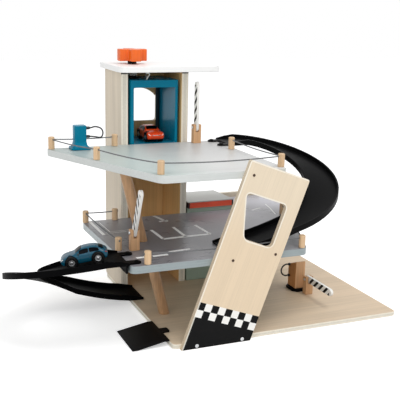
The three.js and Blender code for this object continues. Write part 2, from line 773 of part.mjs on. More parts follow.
// The cord's turns climb the spindle, then it runs through the guide and bends down to the lift
function windingCord() {
  const stepsPerTurn = 16;
  const turns = liftCord.turns * stepsPerTurn;
  const points = Array.from({ length: turns + 1 }, (_, step) => {
    const left = turns - step;
    const angle = Math.PI / 2 + (left / stepsPerTurn) * 2 * Math.PI;
    return vec(
      spindle.x + windingRadius * Math.cos(angle), spindle.y + windingRadius * Math.sin(angle),
      guideHeight - (left / stepsPerTurn) * liftCord.pitch,
    );
  });
  const bend = 4 * liftCord.radius;
  const corner = vec(liftX, hookY, guideHeight);
  const into = corner.clone().add(vec(-bend, 0, 0));
  const down = corner.clone().add(vec(0, 0, -bend / 2));
  points.push(...new THREE.QuadraticBezierCurve3(into, corner, down).getPoints(roundSteps.corner));
  return cordAlong(points, liftCord.radius, 6);
}

function liftStrand() {
  const low = liftEyeTop + gap;
  const high = guideHeight - 2 * liftCord.radius - gap;
  const strand = cylinderAlong('z', liftCord.radius, high - low, roundSteps.cord);
  return strand.translate(liftX, hookY, (low + high) / 2);
}

// Four-lobed winding knob
function windingKnob() {
  const low = roofTop + 2 * gap + spindle.bossHeight;
  const inner = knob.lobe;
  const outline = new THREE.Shape();
  const start = knob.reach - knob.bevel;
  outline.moveTo(start, -inner + knob.bevel);
  for (let lobe = 0; lobe < 4; lobe += 1) {
    const angle = (lobe * Math.PI) / 2;
    const turned = (x, y) => [
      x * Math.cos(angle) - y * Math.sin(angle), x * Math.sin(angle) + y * Math.cos(angle),
    ];
    outline.quadraticCurveTo(...turned(knob.reach, 0), ...turned(start, inner - knob.bevel));
    outline.quadraticCurveTo(...turned(start, inner), ...turned(start - knob.bevel, inner));
    outline.lineTo(...turned(inner + knob.bevel, inner));
    outline.quadraticCurveTo(...turned(inner, inner), ...turned(inner, inner + knob.bevel));
    outline.lineTo(...turned(inner, start - knob.bevel));
    outline.quadraticCurveTo(...turned(inner, start), ...turned(inner - knob.bevel, start));
  }
  const solid = new THREE.ExtrudeGeometry(outline, {
    depth: knob.height - knob.bevel, bevelEnabled: true, bevelThickness: knob.bevel / 2,
    bevelSize: knob.bevel / 2, bevelOffset: -knob.bevel / 2, bevelSegments: 2,
    curveSegments: roundSteps.corner,
  });
  return solid.translate(spindle.x, spindle.y, low + knob.bevel / 2);
}

// Toy car: front towards +X, wheels on the ground at Z = 0
// Each row: place along the car, half width, underside and top
const carShares = [
  [0, 0.66, 0.34, 0.44], [0.02, 0.82, 0.26, 0.53], [0.07, 0.94, 0.21, 0.6], [0.15, 1, 0.19, 0.66],
  [0.25, 1, 0.19, 0.7], [0.32, 0.99, 0.19, 0.82], [0.4, 0.98, 0.19, 0.95], [0.48, 0.98, 0.19, 1],
  [0.62, 0.99, 0.19, 1], [0.76, 1, 0.19, 0.97], [0.86, 1, 0.19, 0.87], [0.93, 0.96, 0.22, 0.72],
  [0.98, 0.86, 0.28, 0.62], [1, 0.72, 0.38, 0.53],
];
const cabinShares = { waist: 0.58, hood: 0.9, narrowing: 0.62, crown: 0.08, sill: 0.12 };

// One cross section: a flat underside, upright sides up to the waist, and a narrower rounded roof
function carRing([along, wide, low, high]) {
  const x = toy.length * (1 / 2 - along);
  const tall = high - low;
  const waist = Math.min(cabinShares.waist, high - tall / 4);
  const top = cabinShares.hood - cabinShares.narrowing * Math.max(high - cabinShares.waist, 0);
  const crown = Math.min(cabinShares.crown, tall / 4);
  const half = [
    [cabinShares.hood, low], [1, low + Math.min(cabinShares.sill, tall / 4)], [1, waist],
    [(1 + top) / 2, waist + (high - crown - waist) / 3], [top, high - crown], [top - crown, high - crown / 4],
  ].map(([across, up]) => [toy.halfWidth * wide * across, toy.roof * up]);
  const left = half.map(([y, z]) => vec(x, y, z));
  const right = half.map(([y, z]) => vec(x, -y, z)).reverse();
  return [...left, vec(x, 0, toy.roof * high), ...right, vec(x, 0, toy.roof * low)];
}

function carBody() {
  const shell = loft(carShares.map(carRing).reverse());
  const tools = axlePlaces().flatMap((x) => {
    const bore = cylinderAlong('y', toy.axleBore, 3 * toy.halfWidth, roundSteps.screw);
    const wells = [-1, 1].map((side) => {
      const well = cylinderAlong('y', toy.well, 2 * toy.wheelWidth, roundSteps.dowel);
      const inner = toy.track / 2 - toy.wheelWidth - 2 * gap;
      return well.translate(x, side * (inner + toy.wheelWidth), toy.wheel);
    });
    return [bore.translate(x, 0, toy.wheel), ...wells];
  });
  return cut(shell, ...tools);
}

function axlePlaces() {
  const rear = -toy.length / 2 + toy.axleBack;
  return [rear + toy.base, rear];
}

// Two wheels on one axle, turned in one profile
function axleSet() {
  const outer = toy.track / 2;
  const inner = outer - toy.wheelWidth;
  const hub = toy.wheel * 0.36;
  const dish = toy.wheelWidth * 0.2;
  const soft = toy.wheel * 0.1;
  const half = [
    [0, outer], [hub, outer - dish / 2], [hub, outer - dish], [toy.wheel - 3 * soft, outer - dish],
    [toy.wheel - 2 * soft, outer], [toy.wheel - soft, outer], [toy.wheel, outer - soft],
    [toy.wheel, inner + soft], [toy.wheel - soft, inner], [toy.axle, inner],
  ];
  const mirrored = half.map(([x, y]) => [x, -y]);
  const profile = [...mirrored, ...half.reverse()].map(([x, y]) => new THREE.Vector2(x, y));
  return new THREE.LatheGeometry(profile, roundSteps.wheel);
}

function toyCar(colour, colourName) {
  const group = new THREE.Group();
  add(group, `${colourName}_car_body`, carBody(), colour, 0.3);
  axlePlaces().forEach((x, index) => {
    const name = `${colourName}_car_${index === 0 ? 'front' : 'rear'}_wheels`;
    add(group, name, axleSet().translate(x, 0, toy.wheel), colours.black, 0.5);
  });
  return group;
}

// Structure
add(garage, 'base_board', baseBoard(), colours.plywood, 0.6);
add(garage, 'tower_left_wall', towerSide(0), colours.plywood, 0.6);
add(garage, 'tower_right_wall', towerSide(tower.width - towerWall), colours.plywood, 0.6);
add(garage, 'tower_back_wall', towerBack(), colours.shaded, 0.6);
add(garage, 'roof_plate', roofPlate(), colours.roofWhite, 0.45);
add(garage, 'mid_deck', midDeck(), colours.midGrey, 0.35);
add(garage, 'upper_deck', upperDeck(), colours.upperGrey, 0.4);
add(garage, 'front_panel', frontPanel(), colours.birch, 0.55);
const columnTops = { ground: levelMid - board, mid: levelUpper - board };
const groundColumn = leaningDowel(column.groundX, column.groundY, levelBase, columnTops.ground);
const midColumn = leaningDowel(column.midX, column.midY, levelMid, columnTops.mid);
add(garage, 'ground_column', groundColumn, colours.dowel, 0.6);
add(garage, 'mid_column', midColumn, colours.dowel, 0.6);
add(garage, 'rear_wall', rearBoard(), colours.shaded, 0.6);
add(garage, 'kiosk_walls', kioskWalls(), colours.green, 0.6);
add(garage, 'kiosk_fascia', kioskFascia(), colours.red, 0.5);
add(garage, 'kiosk_roof', kioskRoof(), colours.roofGrey, 0.5);

// Fences
const midLeftRun = midPosts.slice(0, 3);
const midRightRun = midPosts.slice(3);
const upperSleeve = fenceCord(upperPosts, levelUpper, gap);
const midSleeves = [fenceCord(midLeftRun, levelMid, gap), fenceCord(midRightRun, levelMid, gap)];
upperPosts.forEach((place, index) => {
  const geometry = fencePost(place, levelUpper, [upperSleeve]);
  add(garage, `upper_post_${index + 1}`, geometry, colours.dowel, 0.6);
});
midPosts.forEach((place, index) => {
  const geometry = fencePost(place, levelMid, midSleeves);
  add(garage, `mid_post_${index + 1}`, geometry, colours.dowel, 0.6);
});
add(garage, 'upper_fence_cord', fenceCord(upperPosts, levelUpper), colours.cord, 0.8);
add(garage, 'mid_fence_cord_left', fenceCord(midLeftRun, levelMid), colours.cord, 0.8);
add(garage, 'mid_fence_cord_right', fenceCord(midRightRun, levelMid), colours.cord, 0.8);

// Ramps
const lowerRamp = spiralRamp().translate(mid.left - gap, rampLeftY, levelMid + gap);
const upperRampHead = vec(upper.right + rampRightOut + gap, rampRightY, levelUpper + gap);
const upperRamp = spiralRamp().rotateZ(Math.PI).translate(...upperRampHead.toArray());
add(garage, 'lower_spiral_ramp', lowerRamp, colours.black, 0.45);
add(garage, 'upper_spiral_ramp', upperRamp, colours.black, 0.45);
add(garage, 'entry_ramp', entryRamp(), colours.black, 0.45);

// Barriers
barriers.forEach((place) => {
  add(garage, `${place.name}_barrier_block`, stand(barrierBlock(), place), colours.dowel, 0.6);
  add(garage, `${place.name}_barrier_boom`, stand(barrierBoom(place.tilt), place), colours.white, 0.5);
  add(garage, `${place.name}_barrier_pin`, stand(barrierPin(), place), colours.steel, 0.35, 1);
});

// Charging station and petrol pump
add(garage, 'charger_plate', chargerPlate(), colours.teal, 0.35);
add(garage, 'charger_body', chargerBody(), colours.teal, 0.35);
add(garage, 'charger_cable', chargerCable(), colours.cord, 0.7);
add(garage, 'pump_plate', pumpPlate(), colours.black, 0.5);
add(garage, 'pump_body', pumpBody(), colours.dowel, 0.6);
add(garage, 'pump_hose', pumpHose(), colours.black, 0.5);

// Lift and its winding gear
add(garage, 'lift_cabin', liftCabin(), colours.teal, 0.15);
add(garage, 'lift_eye', eyeRing().translate(liftX, hookY, liftTop + gap), colours.steel, 0.3, 1);
add(garage, 'lift_cord', liftStrand(), colours.white, 0.8);
add(garage, 'guide_eye', guideEye(), colours.steel, 0.3, 1);
add(garage, 'winding_cord', windingCord(), colours.white, 0.8);
add(garage, 'winding_spindle', windingSpindle(), colours.black, 0.4);
add(garage, 'winding_knob', windingKnob(), colours.orange, 0.5);

// Toy cars
const orange = toyCar(colours.orange, 'orange');
orange.rotation.z = radians(orangeCar.headingDegrees);
orange.position.set(orangeCar.x, orangeCar.y, levelUpper + gap);
garage.add(orange);

const wheelReach = toy.base / 2;
const [ahead, behind] = [wheelReach, -wheelReach].map((step) => rampPlace(blueCar.along + step).point);
const blue = toyCar(colours.teal, 'blue');
const travel = ahead.clone().sub(behind);
const carMiddle = ahead.clone().add(behind).multiplyScalar(1 / 2);
blue.rotation.order = 'ZYX';
blue.rotation.z = Math.atan2(travel.y, travel.x);
blue.rotation.y = Math.atan2(-travel.z, Math.hypot(travel.x, travel.y));
blue.position.copy(carMiddle).add(vec(mid.left - gap, rampLeftY, levelMid + gap + ramp.floor + blueCar.lift));
garage.add(blue);

garage.position.set(-base.width / 2, -base.depth / 2, 0);
const model = new THREE.Group();
model.add(garage);

export default model;
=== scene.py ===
"""Dresses the toy parking garage with its woods, paints, plastics, cords and small pieces."""

import math

import bmesh
import bpy
from mathutils import Matrix, Vector


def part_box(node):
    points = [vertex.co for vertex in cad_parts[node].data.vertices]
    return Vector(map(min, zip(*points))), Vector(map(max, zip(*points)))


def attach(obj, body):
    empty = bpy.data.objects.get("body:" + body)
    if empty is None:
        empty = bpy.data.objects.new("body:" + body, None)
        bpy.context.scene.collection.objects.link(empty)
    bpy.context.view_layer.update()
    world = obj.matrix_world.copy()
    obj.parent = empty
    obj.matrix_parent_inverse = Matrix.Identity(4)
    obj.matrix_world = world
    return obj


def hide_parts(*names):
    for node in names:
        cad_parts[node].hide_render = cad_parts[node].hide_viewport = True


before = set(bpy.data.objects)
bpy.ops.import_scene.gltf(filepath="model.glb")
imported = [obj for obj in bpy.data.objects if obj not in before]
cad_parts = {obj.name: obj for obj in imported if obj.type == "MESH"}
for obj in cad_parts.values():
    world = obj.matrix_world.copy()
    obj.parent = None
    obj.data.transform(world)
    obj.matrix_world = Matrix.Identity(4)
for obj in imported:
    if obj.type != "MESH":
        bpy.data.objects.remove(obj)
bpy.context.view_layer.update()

bl_info = {
    "name": "Toy parking garage",
    "version": (1, 0, 0),
    "blender": (4, 5, 0),
    "location": "3D View > Sidebar > Garage",
    "description": "Finishes and fine pieces of a wooden toy parking garage with a lift",
    "category": "Object",
}

MM = 0.001
DECK_TOPS = {level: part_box(level + "_deck")[1].z for level in ("mid", "upper")}
FRONT_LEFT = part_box("base_board")[0]

# The leaning front board in millimetres, across it and along it from its lower left corner
PANEL_TILT = math.radians(20.2)
PANEL_LEFT, PANEL_WIDTH, PANEL_HEIGHT = 11.0, 112.0, 318.0
SQUARES_ACROSS = 9

# Wood grain: waves per metre along the grain and across it, and how far it sways in metres
SWAY_WAVES = (3.0, 14.0)
STREAK_WAVES = (5.0, 420.0)
FIGURE_WAVES = (2.2, 46.0)
PORE_WAVES = (60.0, 1900.0)
SWAY = 0.004


def spot(x, y, z=0.0):
    """A place in millimetres from the base board's front left corner, as metres in the frame."""
    return Vector((x * MM, y * MM, z * MM)) + Vector((FRONT_LEFT.x, FRONT_LEFT.y, 0))


# Materials

# The Mix node's sockets for colours, which share their names with those for values
COLOUR_A, COLOUR_B, COLOUR_RESULT = 6, 7, 2


class Wire:
    """A value, colour or vector on its way through a node tree."""

    def __init__(self, nodes, socket):
        self.nodes = nodes
        self.socket = socket

    def math(self, operation, *others):
        """One Math node with this value first."""
        return self.nodes.node("ShaderNodeMath", {"operation": operation}, dict(enumerate((self, *others))))

    def __add__(self, other):
        return self.math("ADD", other)

    def __sub__(self, other):
        return self.math("SUBTRACT", other)

    def __rsub__(self, other):
        return self.nodes.node("ShaderNodeMath", {"operation": "SUBTRACT"}, {0: other, 1: self})

    def __mul__(self, other):
        return self.math("MULTIPLY", other)

    def __truediv__(self, other):
        return self.math("DIVIDE", other)

    def __gt__(self, other):
        return self.math("GREATER_THAN", other)

    def __lt__(self, other):
        return self.math("LESS_THAN", other)

    def __neg__(self):
        return self.math("MULTIPLY", -1.0)

    def __abs__(self):
        return self.math("ABSOLUTE")

    __radd__ = __add__
    __rmul__ = __mul__

    def larger(self, other):
        """The larger of two values."""
        return self.math("MAXIMUM", other)

    def fract(self):
        """The part after the decimal point."""
        return self.math("FRACT")

    def floor(self):
        """The whole number below."""
        return self.math("FLOOR")

    def fade(self, low, high):
        """0 at low, 1 at high, smooth between."""
        inputs = {"Value": self, "From Min": low, "From Max": high}
        return self.nodes.node("ShaderNodeMapRange", {"interpolation_type": "SMOOTHSTEP"}, inputs)


class Nodes:
    """A node tree that expressions on values fill."""

    def __init__(self, owner, output):
        owner.use_nodes = True
        self.tree = owner.node_tree
        self.tree.nodes.clear()
        self.output = self.tree.nodes.new(output).inputs["Surface"]

    def node(self, kind, settings=None, inputs=None, out=0):
        """Adds a node, sets it, feeds its sockets and returns one of its outputs."""
        made = self.tree.nodes.new(kind)
        for key, value in (settings or {}).items():
            setattr(made, key, value)
        for key, value in (inputs or {}).items():
            self.feed(made.inputs[key], value)
        return Wire(self, made.outputs[out])

    def feed(self, socket, value):
        """Links a wire to a socket, or sets the socket's own value."""
        if isinstance(value, Wire):
            self.tree.links.new(value.socket, socket)
        elif socket.type == "RGBA" and len(value) == 3:
            socket.default_value = (*value, 1.0)
        else:
            socket.default_value = value

    def all_outputs(self, kind, inputs=None):
        """Adds a node and returns its outputs by name."""
        made = self.node(kind, None, inputs).socket.node
        return {socket.name: Wire(self, socket) for socket in made.outputs}

    def shown(self):
        """1 for the camera's rays, straight, mirrored or through glass, and 0 for those of the light."""
        rays = self.all_outputs("ShaderNodeLightPath")
        mirrored = rays["Is Camera Ray"].larger(rays["Is Glossy Ray"])
        return mirrored.larger(rays["Is Transmission Ray"])


class Finish(Nodes):
    """One material and the nodes that make it."""

    def __init__(self, name):
        self.material = bpy.data.materials.new(name)
        super().__init__(self.material, "ShaderNodeOutputMaterial")
        coordinates = self.all_outputs("ShaderNodeTexCoord")
        self.place = coordinates["Object"]
        self.facing = coordinates["Normal"]

    def split(self, vector):
        """The three parts of a vector."""
        return list(self.all_outputs("ShaderNodeSeparateXYZ", {0: vector}).values())

    def at(self, axis):
        """The surface's place along an axis."""
        return self.split(self.place)["xyz".index(axis)]

    def face(self, axis):
        """How far the surface looks along an axis."""
        return self.split(self.facing)["xyz".index(axis)]

    def vector(self, operation, *values):
        """One Vector Math node."""
        return self.node("ShaderNodeVectorMath", {"operation": operation}, dict(enumerate(values)))

    def along(self, vector, direction):
        """How far a vector reaches in a direction."""
        settings = {"operation": "DOT_PRODUCT"}
        return self.node("ShaderNodeVectorMath", settings, {0: vector, 1: direction}, "Value")

    def turned(self, vector, angle):
        """A vector turned about the frame's y axis."""
        inputs = {"Vector": vector, "Axis": (0.0, 1.0, 0.0), "Angle": angle}
        return self.node("ShaderNodeVectorRotate", {"rotation_type": "AXIS_ANGLE"}, inputs)

    def noise(self, vector, waves, detail=3.0, roughness=0.5, distortion=0.0):
        """Soft noise between 0 and 1; waves per metre are one number, or one for each axis."""
        if isinstance(waves, tuple):
            vector, waves = self.vector("MULTIPLY", vector, waves), 1.0
        inputs = {"Vector": vector, "Scale": waves, "Detail": detail, "Roughness": roughness}
        return self.node("ShaderNodeTexNoise", None, {**inputs, "Distortion": distortion})

    def mix(self, factor, low, high):
        """A colour between two colours."""
        inputs = {0: factor, COLOUR_A: low, COLOUR_B: high}
        return self.node("ShaderNodeMix", {"data_type": "RGBA"}, inputs, COLOUR_RESULT)

    def tint(self, factor, colour, strength):
        """Multiplies a colour by values round 1, for streaks and blotches."""
        level = 1.0 + (factor - 0.5) * strength
        grey = self.node("ShaderNodeCombineColor", None, {0: level, 1: level, 2: level})
        settings = {"data_type": "RGBA", "blend_type": "MULTIPLY"}
        return self.node("ShaderNodeMix", settings, {0: 1.0, COLOUR_A: colour, COLOUR_B: grey}, COLOUR_RESULT)

    def toned(self, mask, colour, factors):
        """A colour that three factors multiply where a mask is 1."""
        return self.mix(mask, colour, self.vector("MULTIPLY", colour, factors))

    def bump(self, height, depth):
        """A bump from a height between 0 and 1; its depth is in millimetres."""
        return self.node("ShaderNodeBump", None, {"Height": height, "Distance": depth * MM, "Strength": 1.0})

    def shader(self, colour, roughness, metallic=0.0, coat=0.0, normal=None, gloss=0.5):
        """The surface's shader."""
        inputs = {
            "Base Color": colour, "Roughness": roughness, "Metallic": metallic, "Coat Weight": coat,
            "Coat Roughness": 0.08, "Specular IOR Level": gloss,
        }
        if normal:
            inputs["Normal"] = normal
        return self.node("ShaderNodeBsdfPrincipled", None, inputs)

    def closed(self, shader):
        """Links the last shader and returns the material."""
        self.feed(self.output, shader)
        return self.material

    def surface(self, colour, roughness, **options):
        """Makes and links the surface's shader and returns the material."""
        return self.closed(self.shader(colour, roughness, **options))


def linear(text):
    """A hex colour as linear values."""
    parts = [int(text[i:i + 2], 16) / 255 for i in (0, 2, 4)]
    return tuple(c / 12.92 if c <= 0.04045 else ((c + 0.055) / 1.055) ** 2.4 for c in parts)


def scaled(colour, share):
    """A colour made darker or paler."""
    return tuple(part * share for part in colour)


def grain_waves(axis, waves, narrower=1.0):
    """Waves per metre on each axis, for a grain that runs along one of them."""
    along, across = waves
    return tuple(along if name == axis else across * narrower for name in "xyz")


def wood_grain(finish, place, axis, narrower=1.0):
    """(streaks, figure, pores) of a grain that runs along an axis."""
    sway = finish.noise(place, grain_waves(axis, SWAY_WAVES), 2.0) * SWAY
    aside = finish.node("ShaderNodeCombineXYZ", None, {0: sway, 1: sway, 2: sway})
    swayed = finish.vector("ADD", place, aside)
    streaks = finish.noise(swayed, grain_waves(axis, STREAK_WAVES, narrower), 5.0, 0.62)
    figure = finish.noise(swayed, grain_waves(axis, FIGURE_WAVES, narrower), 3.0, 0.5, 0.7)
    pores = finish.noise(place, grain_waves(axis, PORE_WAVES), 2.0, 0.6)
    return streaks, figure, pores


def bare_wood(name, light, dark, axis, rough=0.55, lean=0.0, narrower=1.0):
    """Bare sanded wood as (finish, colour, roughness, height), with streaks, figure and fine pores."""
    finish = Finish(name)
    place = finish.turned(finish.place, lean) if lean else finish.place
    streaks, figure, pores = wood_grain(finish, place, axis, narrower)
    tone = streaks.fade(0.32, 0.72) * 0.55 + figure.fade(0.3, 0.7) * 0.45
    colour = finish.mix(tone, dark, light)
    colour = finish.mix(pores.fade(0.62, 0.8) * 0.22, colour, scaled(dark, 0.45))
    return finish, colour, rough + (0.5 - streaks) * 0.18, streaks * 0.6 + pores * 0.4


def ply_layers(finish, axis, low, thickness, plies, light, dark):
    """(mask, colour) of the glued layers on a board's sawn edges."""
    wave = finish.noise(finish.place, 55.0, 2.0)
    depth = (finish.at(axis) - low) / thickness * plies + (wave - 0.5) * 0.16
    odd = (depth * 0.5).fract() > 0.5
    glue = abs(depth.fract() - 0.5).fade(0.42, 0.49) * 0.45
    fibre = finish.noise(finish.place, 900.0, 3.0, 0.7)
    colour = finish.tint(fibre, finish.mix(odd, light, dark), 0.5)
    return 1.0 - abs(finish.face(axis)).fade(0.55, 0.75), finish.mix(glue, colour, scaled(dark, 0.35))


def plywood(node, light, dark, grain, thick_axis, plies, edge=None, lean=0.0):
    """Plywood of a board, as bare_wood gives it: glued layers on the edges, which an edge colour can veil."""
    finish, colour, roughness, height = bare_wood(node + " plywood", light, dark, grain, lean=lean)
    low, high = (corner["xyz".index(thick_axis)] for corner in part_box(node))
    layers = (edge, scaled(edge, 0.86)) if edge else (scaled(light, 0.95), scaled(dark, 0.62))
    mask, layered = ply_layers(finish, thick_axis, low, high - low, plies, *layers)
    return finish, finish.mix(mask, colour, layered), roughness, height


def painted(name, colour, grain="x", rough=0.4, mottle=0.12, show_grain=0.35, pattern=None):
    """Paint on wood: the grain shows through; a pattern can change the colour from place to place."""
    finish = Finish(name)
    streaks, _, pores = wood_grain(finish, finish.place, grain)
    cloud = finish.noise(finish.place, 22.0, 4.0, 0.6)
    body = pattern(finish, colour) if pattern else colour
    tinted = finish.tint(cloud, finish.tint(streaks, body, show_grain * mottle * 2), mottle)
    roughness = rough + (cloud - 0.5) * 0.2 + (streaks - 0.5) * 0.12
    normal = finish.bump(streaks * 0.7 + pores * 0.3, 0.12 * show_grain)
    return finish.surface(tinted, roughness, normal=normal)


def moulded(name, colour, rough=0.3, grain=900.0, depth=0.03, mottle=0.08, **options):
    """Moulded plastic with a fine surface grain, its depth in millimetres, and slight flow marks."""
    finish = Finish(name)
    fine = finish.noise(finish.place, grain, 2.0, 0.6)
    flow = finish.noise(finish.place, (18.0, 18.0, 7.0), 3.0, 0.5, 0.6)
    roughness = rough + (flow - 0.5) * 0.14 + (fine - 0.5) * 0.08
    tinted = finish.tint(flow, colour, mottle)
    return finish.surface(tinted, roughness, normal=finish.bump(fine, depth), **options)


def brushed(name, colour, rough=0.32):
    """Turned steel with fine rings."""
    finish = Finish(name)
    rings = finish.noise(finish.place, (600.0, 600.0, 2600.0), 3.0, 0.6)
    dull = finish.noise(finish.place, 260.0)
    roughness = rough + (rings - 0.5) * 0.25 + (dull - 0.5) * 0.15
    tinted = finish.tint(dull, colour, 0.16)
    return finish.surface(tinted, roughness, metallic=1.0, normal=finish.bump(rings, 0.01))


def spun(name, colour):
    """Yarn of a cord: fine fibres."""
    finish = Finish(name)
    fibre = finish.noise(finish.place, (2400.0, 2400.0, 1500.0), 3.0, 0.7)
    soil = finish.noise(finish.place, 90.0)
    tinted = finish.tint(soil, finish.tint(fibre, colour, 0.7), 0.3)
    return finish.surface(tinted, 0.85 + (fibre - 0.5) * 0.2, normal=finish.bump(fibre, 0.06))


def dowel_wood(name, shade=(1.0, 1.0, 1.0), left=None):
    """Upright beech with rings on its ends; left tints the face that looks left with painted shade."""
    tone = Vector([part * share for part, share in zip(chosen().dowel, shade)])
    finish, colour, roughness, height = bare_wood(name, tone, tone * 0.66, "z", 0.5, narrower=1.4)
    rings = finish.node("ShaderNodeTexWave", {"wave_type": "RINGS", "rings_direction": "Z"}, {
        "Vector": finish.place, "Scale": 160.0, "Distortion": 3.0, "Detail": 2.0,
    }, "Fac")
    ends = abs(finish.face("z")).fade(0.6, 0.85) * 0.5
    colour = finish.mix(ends, colour, finish.mix(rings, tone * 0.55, tone * 0.8))
    # Painted shade on the face that looks left
    if left:
        colour = finish.toned((-finish.face("x")).fade(0.5, 0.9), colour, left)
    return finish.surface(colour, roughness, normal=finish.bump(height, 0.12))


made_materials = {}


def stored(maker, name, *values, **options):
    """A material, made the first time that its name is asked for."""
    if name not in made_materials:
        made_materials[name] = maker(name, *values, **options)
    return made_materials[name]


def black_plastic(name="black plastic", gloss=0.06):
    """Satin black plastic."""
    return stored(moulded, name, chosen().black, 0.42, 1300.0, 0.04, mottle=0.3, gloss=gloss)


def teal_plastic():
    """Glossy teal plastic."""
    return stored(moulded, "teal plastic", chosen().teal, 0.28, 500.0, 0.006, coat=0.06, gloss=0.08)


def bright_steel():
    """Turned steel."""
    return stored(brushed, "steel", (0.62, 0.63, 0.64))


# Meshes, with the sizes of what is turned, drawn or rounded in millimetres


def placed(name, data):
    """An object for some data, linked to the scene."""
    made = bpy.data.objects.new(name, data)
    bpy.context.scene.collection.objects.link(made)
    return made


def mesh_of(name, build):
    """A mesh made by a function that fills a bmesh."""
    work = bmesh.new()
    build(work)
    bmesh.ops.recalc_face_normals(work, faces=work.faces)
    mesh = bpy.data.meshes.new(name)
    work.to_mesh(mesh)
    work.free()
    return mesh


def smooth_shaded(mesh, angle):
    """Shades a mesh smooth, with edges sharper than an angle kept."""
    mesh.shade_smooth()
    mesh.set_sharp_from_angle(angle=math.radians(angle))


def add_piece(name, build, material, body, replaces=(), smooth=35.0):
    """A piece that rides on a body, made by a function that fills a bmesh."""
    mesh = mesh_of(name, build)
    piece = placed(name, mesh)
    mesh.materials.append(material)
    smooth_shaded(mesh, smooth)
    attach(piece, body)
    if replaces:
        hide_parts(*replaces)
    return piece


def carve(piece, build, smooth=30.0):
    """Cuts what a function fills into a bmesh out of a piece, and keeps only the result."""
    cutter = placed("cutter", mesh_of("cutter", build))
    modifier = piece.modifiers.new("carve", "BOOLEAN")
    modifier.operation = "DIFFERENCE"
    modifier.solver = "EXACT"
    modifier.use_self = True
    modifier.object = cutter
    bpy.context.view_layer.update()
    result = bpy.data.meshes.new_from_object(piece.evaluated_get(bpy.context.evaluated_depsgraph_get()))
    piece.modifiers.remove(modifier)
    piece.data = result
    bpy.data.objects.remove(cutter)
    smooth_shaded(result, smooth)


def soften(piece, width, segments=2, angle=30.0, weld=True):
    """Rounds the sharp edges of a piece with modifiers."""
    if weld:
        merge = piece.modifiers.new("weld", "WELD")
        merge.merge_threshold = 1e-6
        flat = piece.modifiers.new("flat", "DECIMATE")
        flat.decimate_type = "DISSOLVE"
        flat.angle_limit = math.radians(0.5)
    if width:
        bevel = piece.modifiers.new("edge", "BEVEL")
        bevel.width = width * MM
        bevel.segments = segments
        bevel.limit_method = "ANGLE"
        bevel.angle_limit = math.radians(angle)
        bevel.harden_normals = True
        bevel.use_clamp_overlap = True


def dress(node, material, width=0.6, segments=2, angle=30.0):
    """Gives a CAD node its finish and softly rounded edges."""
    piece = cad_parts[node]
    mesh = piece.data
    if "custom_normal" in mesh.attributes:
        mesh.attributes.remove(mesh.attributes["custom_normal"])
    mesh.materials.clear()
    mesh.materials.append(material)
    mesh.shade_smooth()
    soften(piece, width, segments, angle)


def circle(centre, side, third, radius, steps):
    """Points on a circle that lies in two directions."""
    angles = [2 * math.pi * i / steps for i in range(steps)]
    return [centre + side * radius * math.cos(a) + third * radius * math.sin(a) for a in angles]


def rings_into(work, rings):
    """Adds a closed skin over rings of points."""
    rows = [[work.verts.new(point) for point in ring] for ring in rings]
    for near, far in zip(rows, rows[1:]):
        for i in range(len(near)):
            after = (i + 1) % len(near)
            work.faces.new((near[i], near[after], far[after], far[i]))
    work.faces.new(rows[0][::-1])
    work.faces.new(rows[-1])


def turned_into(work, profile, centre, axis, steps=32):
    """Adds a turned solid: profile is (radius, distance along the axis), its ends near the axis."""
    along = Vector(axis).normalized()
    side = along.orthogonal().normalized()
    third = along.cross(side)
    rings_into(work, [circle(centre + along * (d * MM), side, third, r * MM, steps) for r, d in profile])


def sides_along(points):
    """Two directions across a route at each of its points, twisted as little as can be."""
    sides, side = [], None
    for before, after in zip([points[0], *points], [*points[1:], points[-1]]):
        forward = (after - before).normalized()
        side = forward.orthogonal() if side is None else side - forward * side.dot(forward)
        side.normalize()
        sides.append((side, forward.cross(side)))
    return sides


def tube_into(work, points, radius, steps=10):
    """Adds a round cord along points."""
    sides = sides_along(points)
    rings_into(work, [circle(point, *pair, radius * MM, steps) for point, pair in zip(points, sides)])


def walked(points):
    """How far each point of a route lies from its start, along it."""
    ways = [0.0]
    for a, b in zip(points, points[1:]):
        ways.append(ways[-1] + (b - a).length)
    return ways


def resampled(points, step):
    """Points spaced evenly along a route."""
    ways = walked(points)
    count = max(2, int(ways[-1] / step))
    result, at = [], 0
    for i in range(count + 1):
        want = ways[-1] * i / count
        while at < len(ways) - 2 and ways[at + 1] < want:
            at += 1
        share = (want - ways[at]) / max(ways[at + 1] - ways[at], 1e-9)
        result.append(points[at].lerp(points[at + 1], min(max(share, 0.0), 1.0)))
    return result


def smoothed(stops, rounds=3):
    """A route with its corners cut smooth, its ends kept."""
    for _ in range(rounds):
        cut = [point for a, b in zip(stops, stops[1:]) for point in (a.lerp(b, 0.25), a.lerp(b, 0.75))]
        stops = [stops[0], *cut, stops[-1]]
    return stops


def curved(stops, steps=6):
    """A smooth route through stops, a centripetal spline."""
    ends = [stops[0] * 2 - stops[1], *stops, stops[-1] * 2 - stops[-2]]
    route = []
    for quad in zip(ends, ends[1:], ends[2:], ends[3:]):
        times = [0.0]
        for near, far in zip(quad, quad[1:]):
            times.append(times[-1] + (far - near).length ** 0.5)
        for k in range(steps):
            at = times[1] + (times[2] - times[1]) * k / steps
            row = quad
            for spans in (((0, 1), (1, 2), (2, 3)), ((0, 2), (1, 3)), ((1, 2),)):
                row = [
                    near.lerp(far, (at - times[i]) / (times[j] - times[i]))
                    for near, far, (i, j) in zip(row, row[1:], spans)
                ]
            route.append(row[0])
    return route + [stops[-1]]


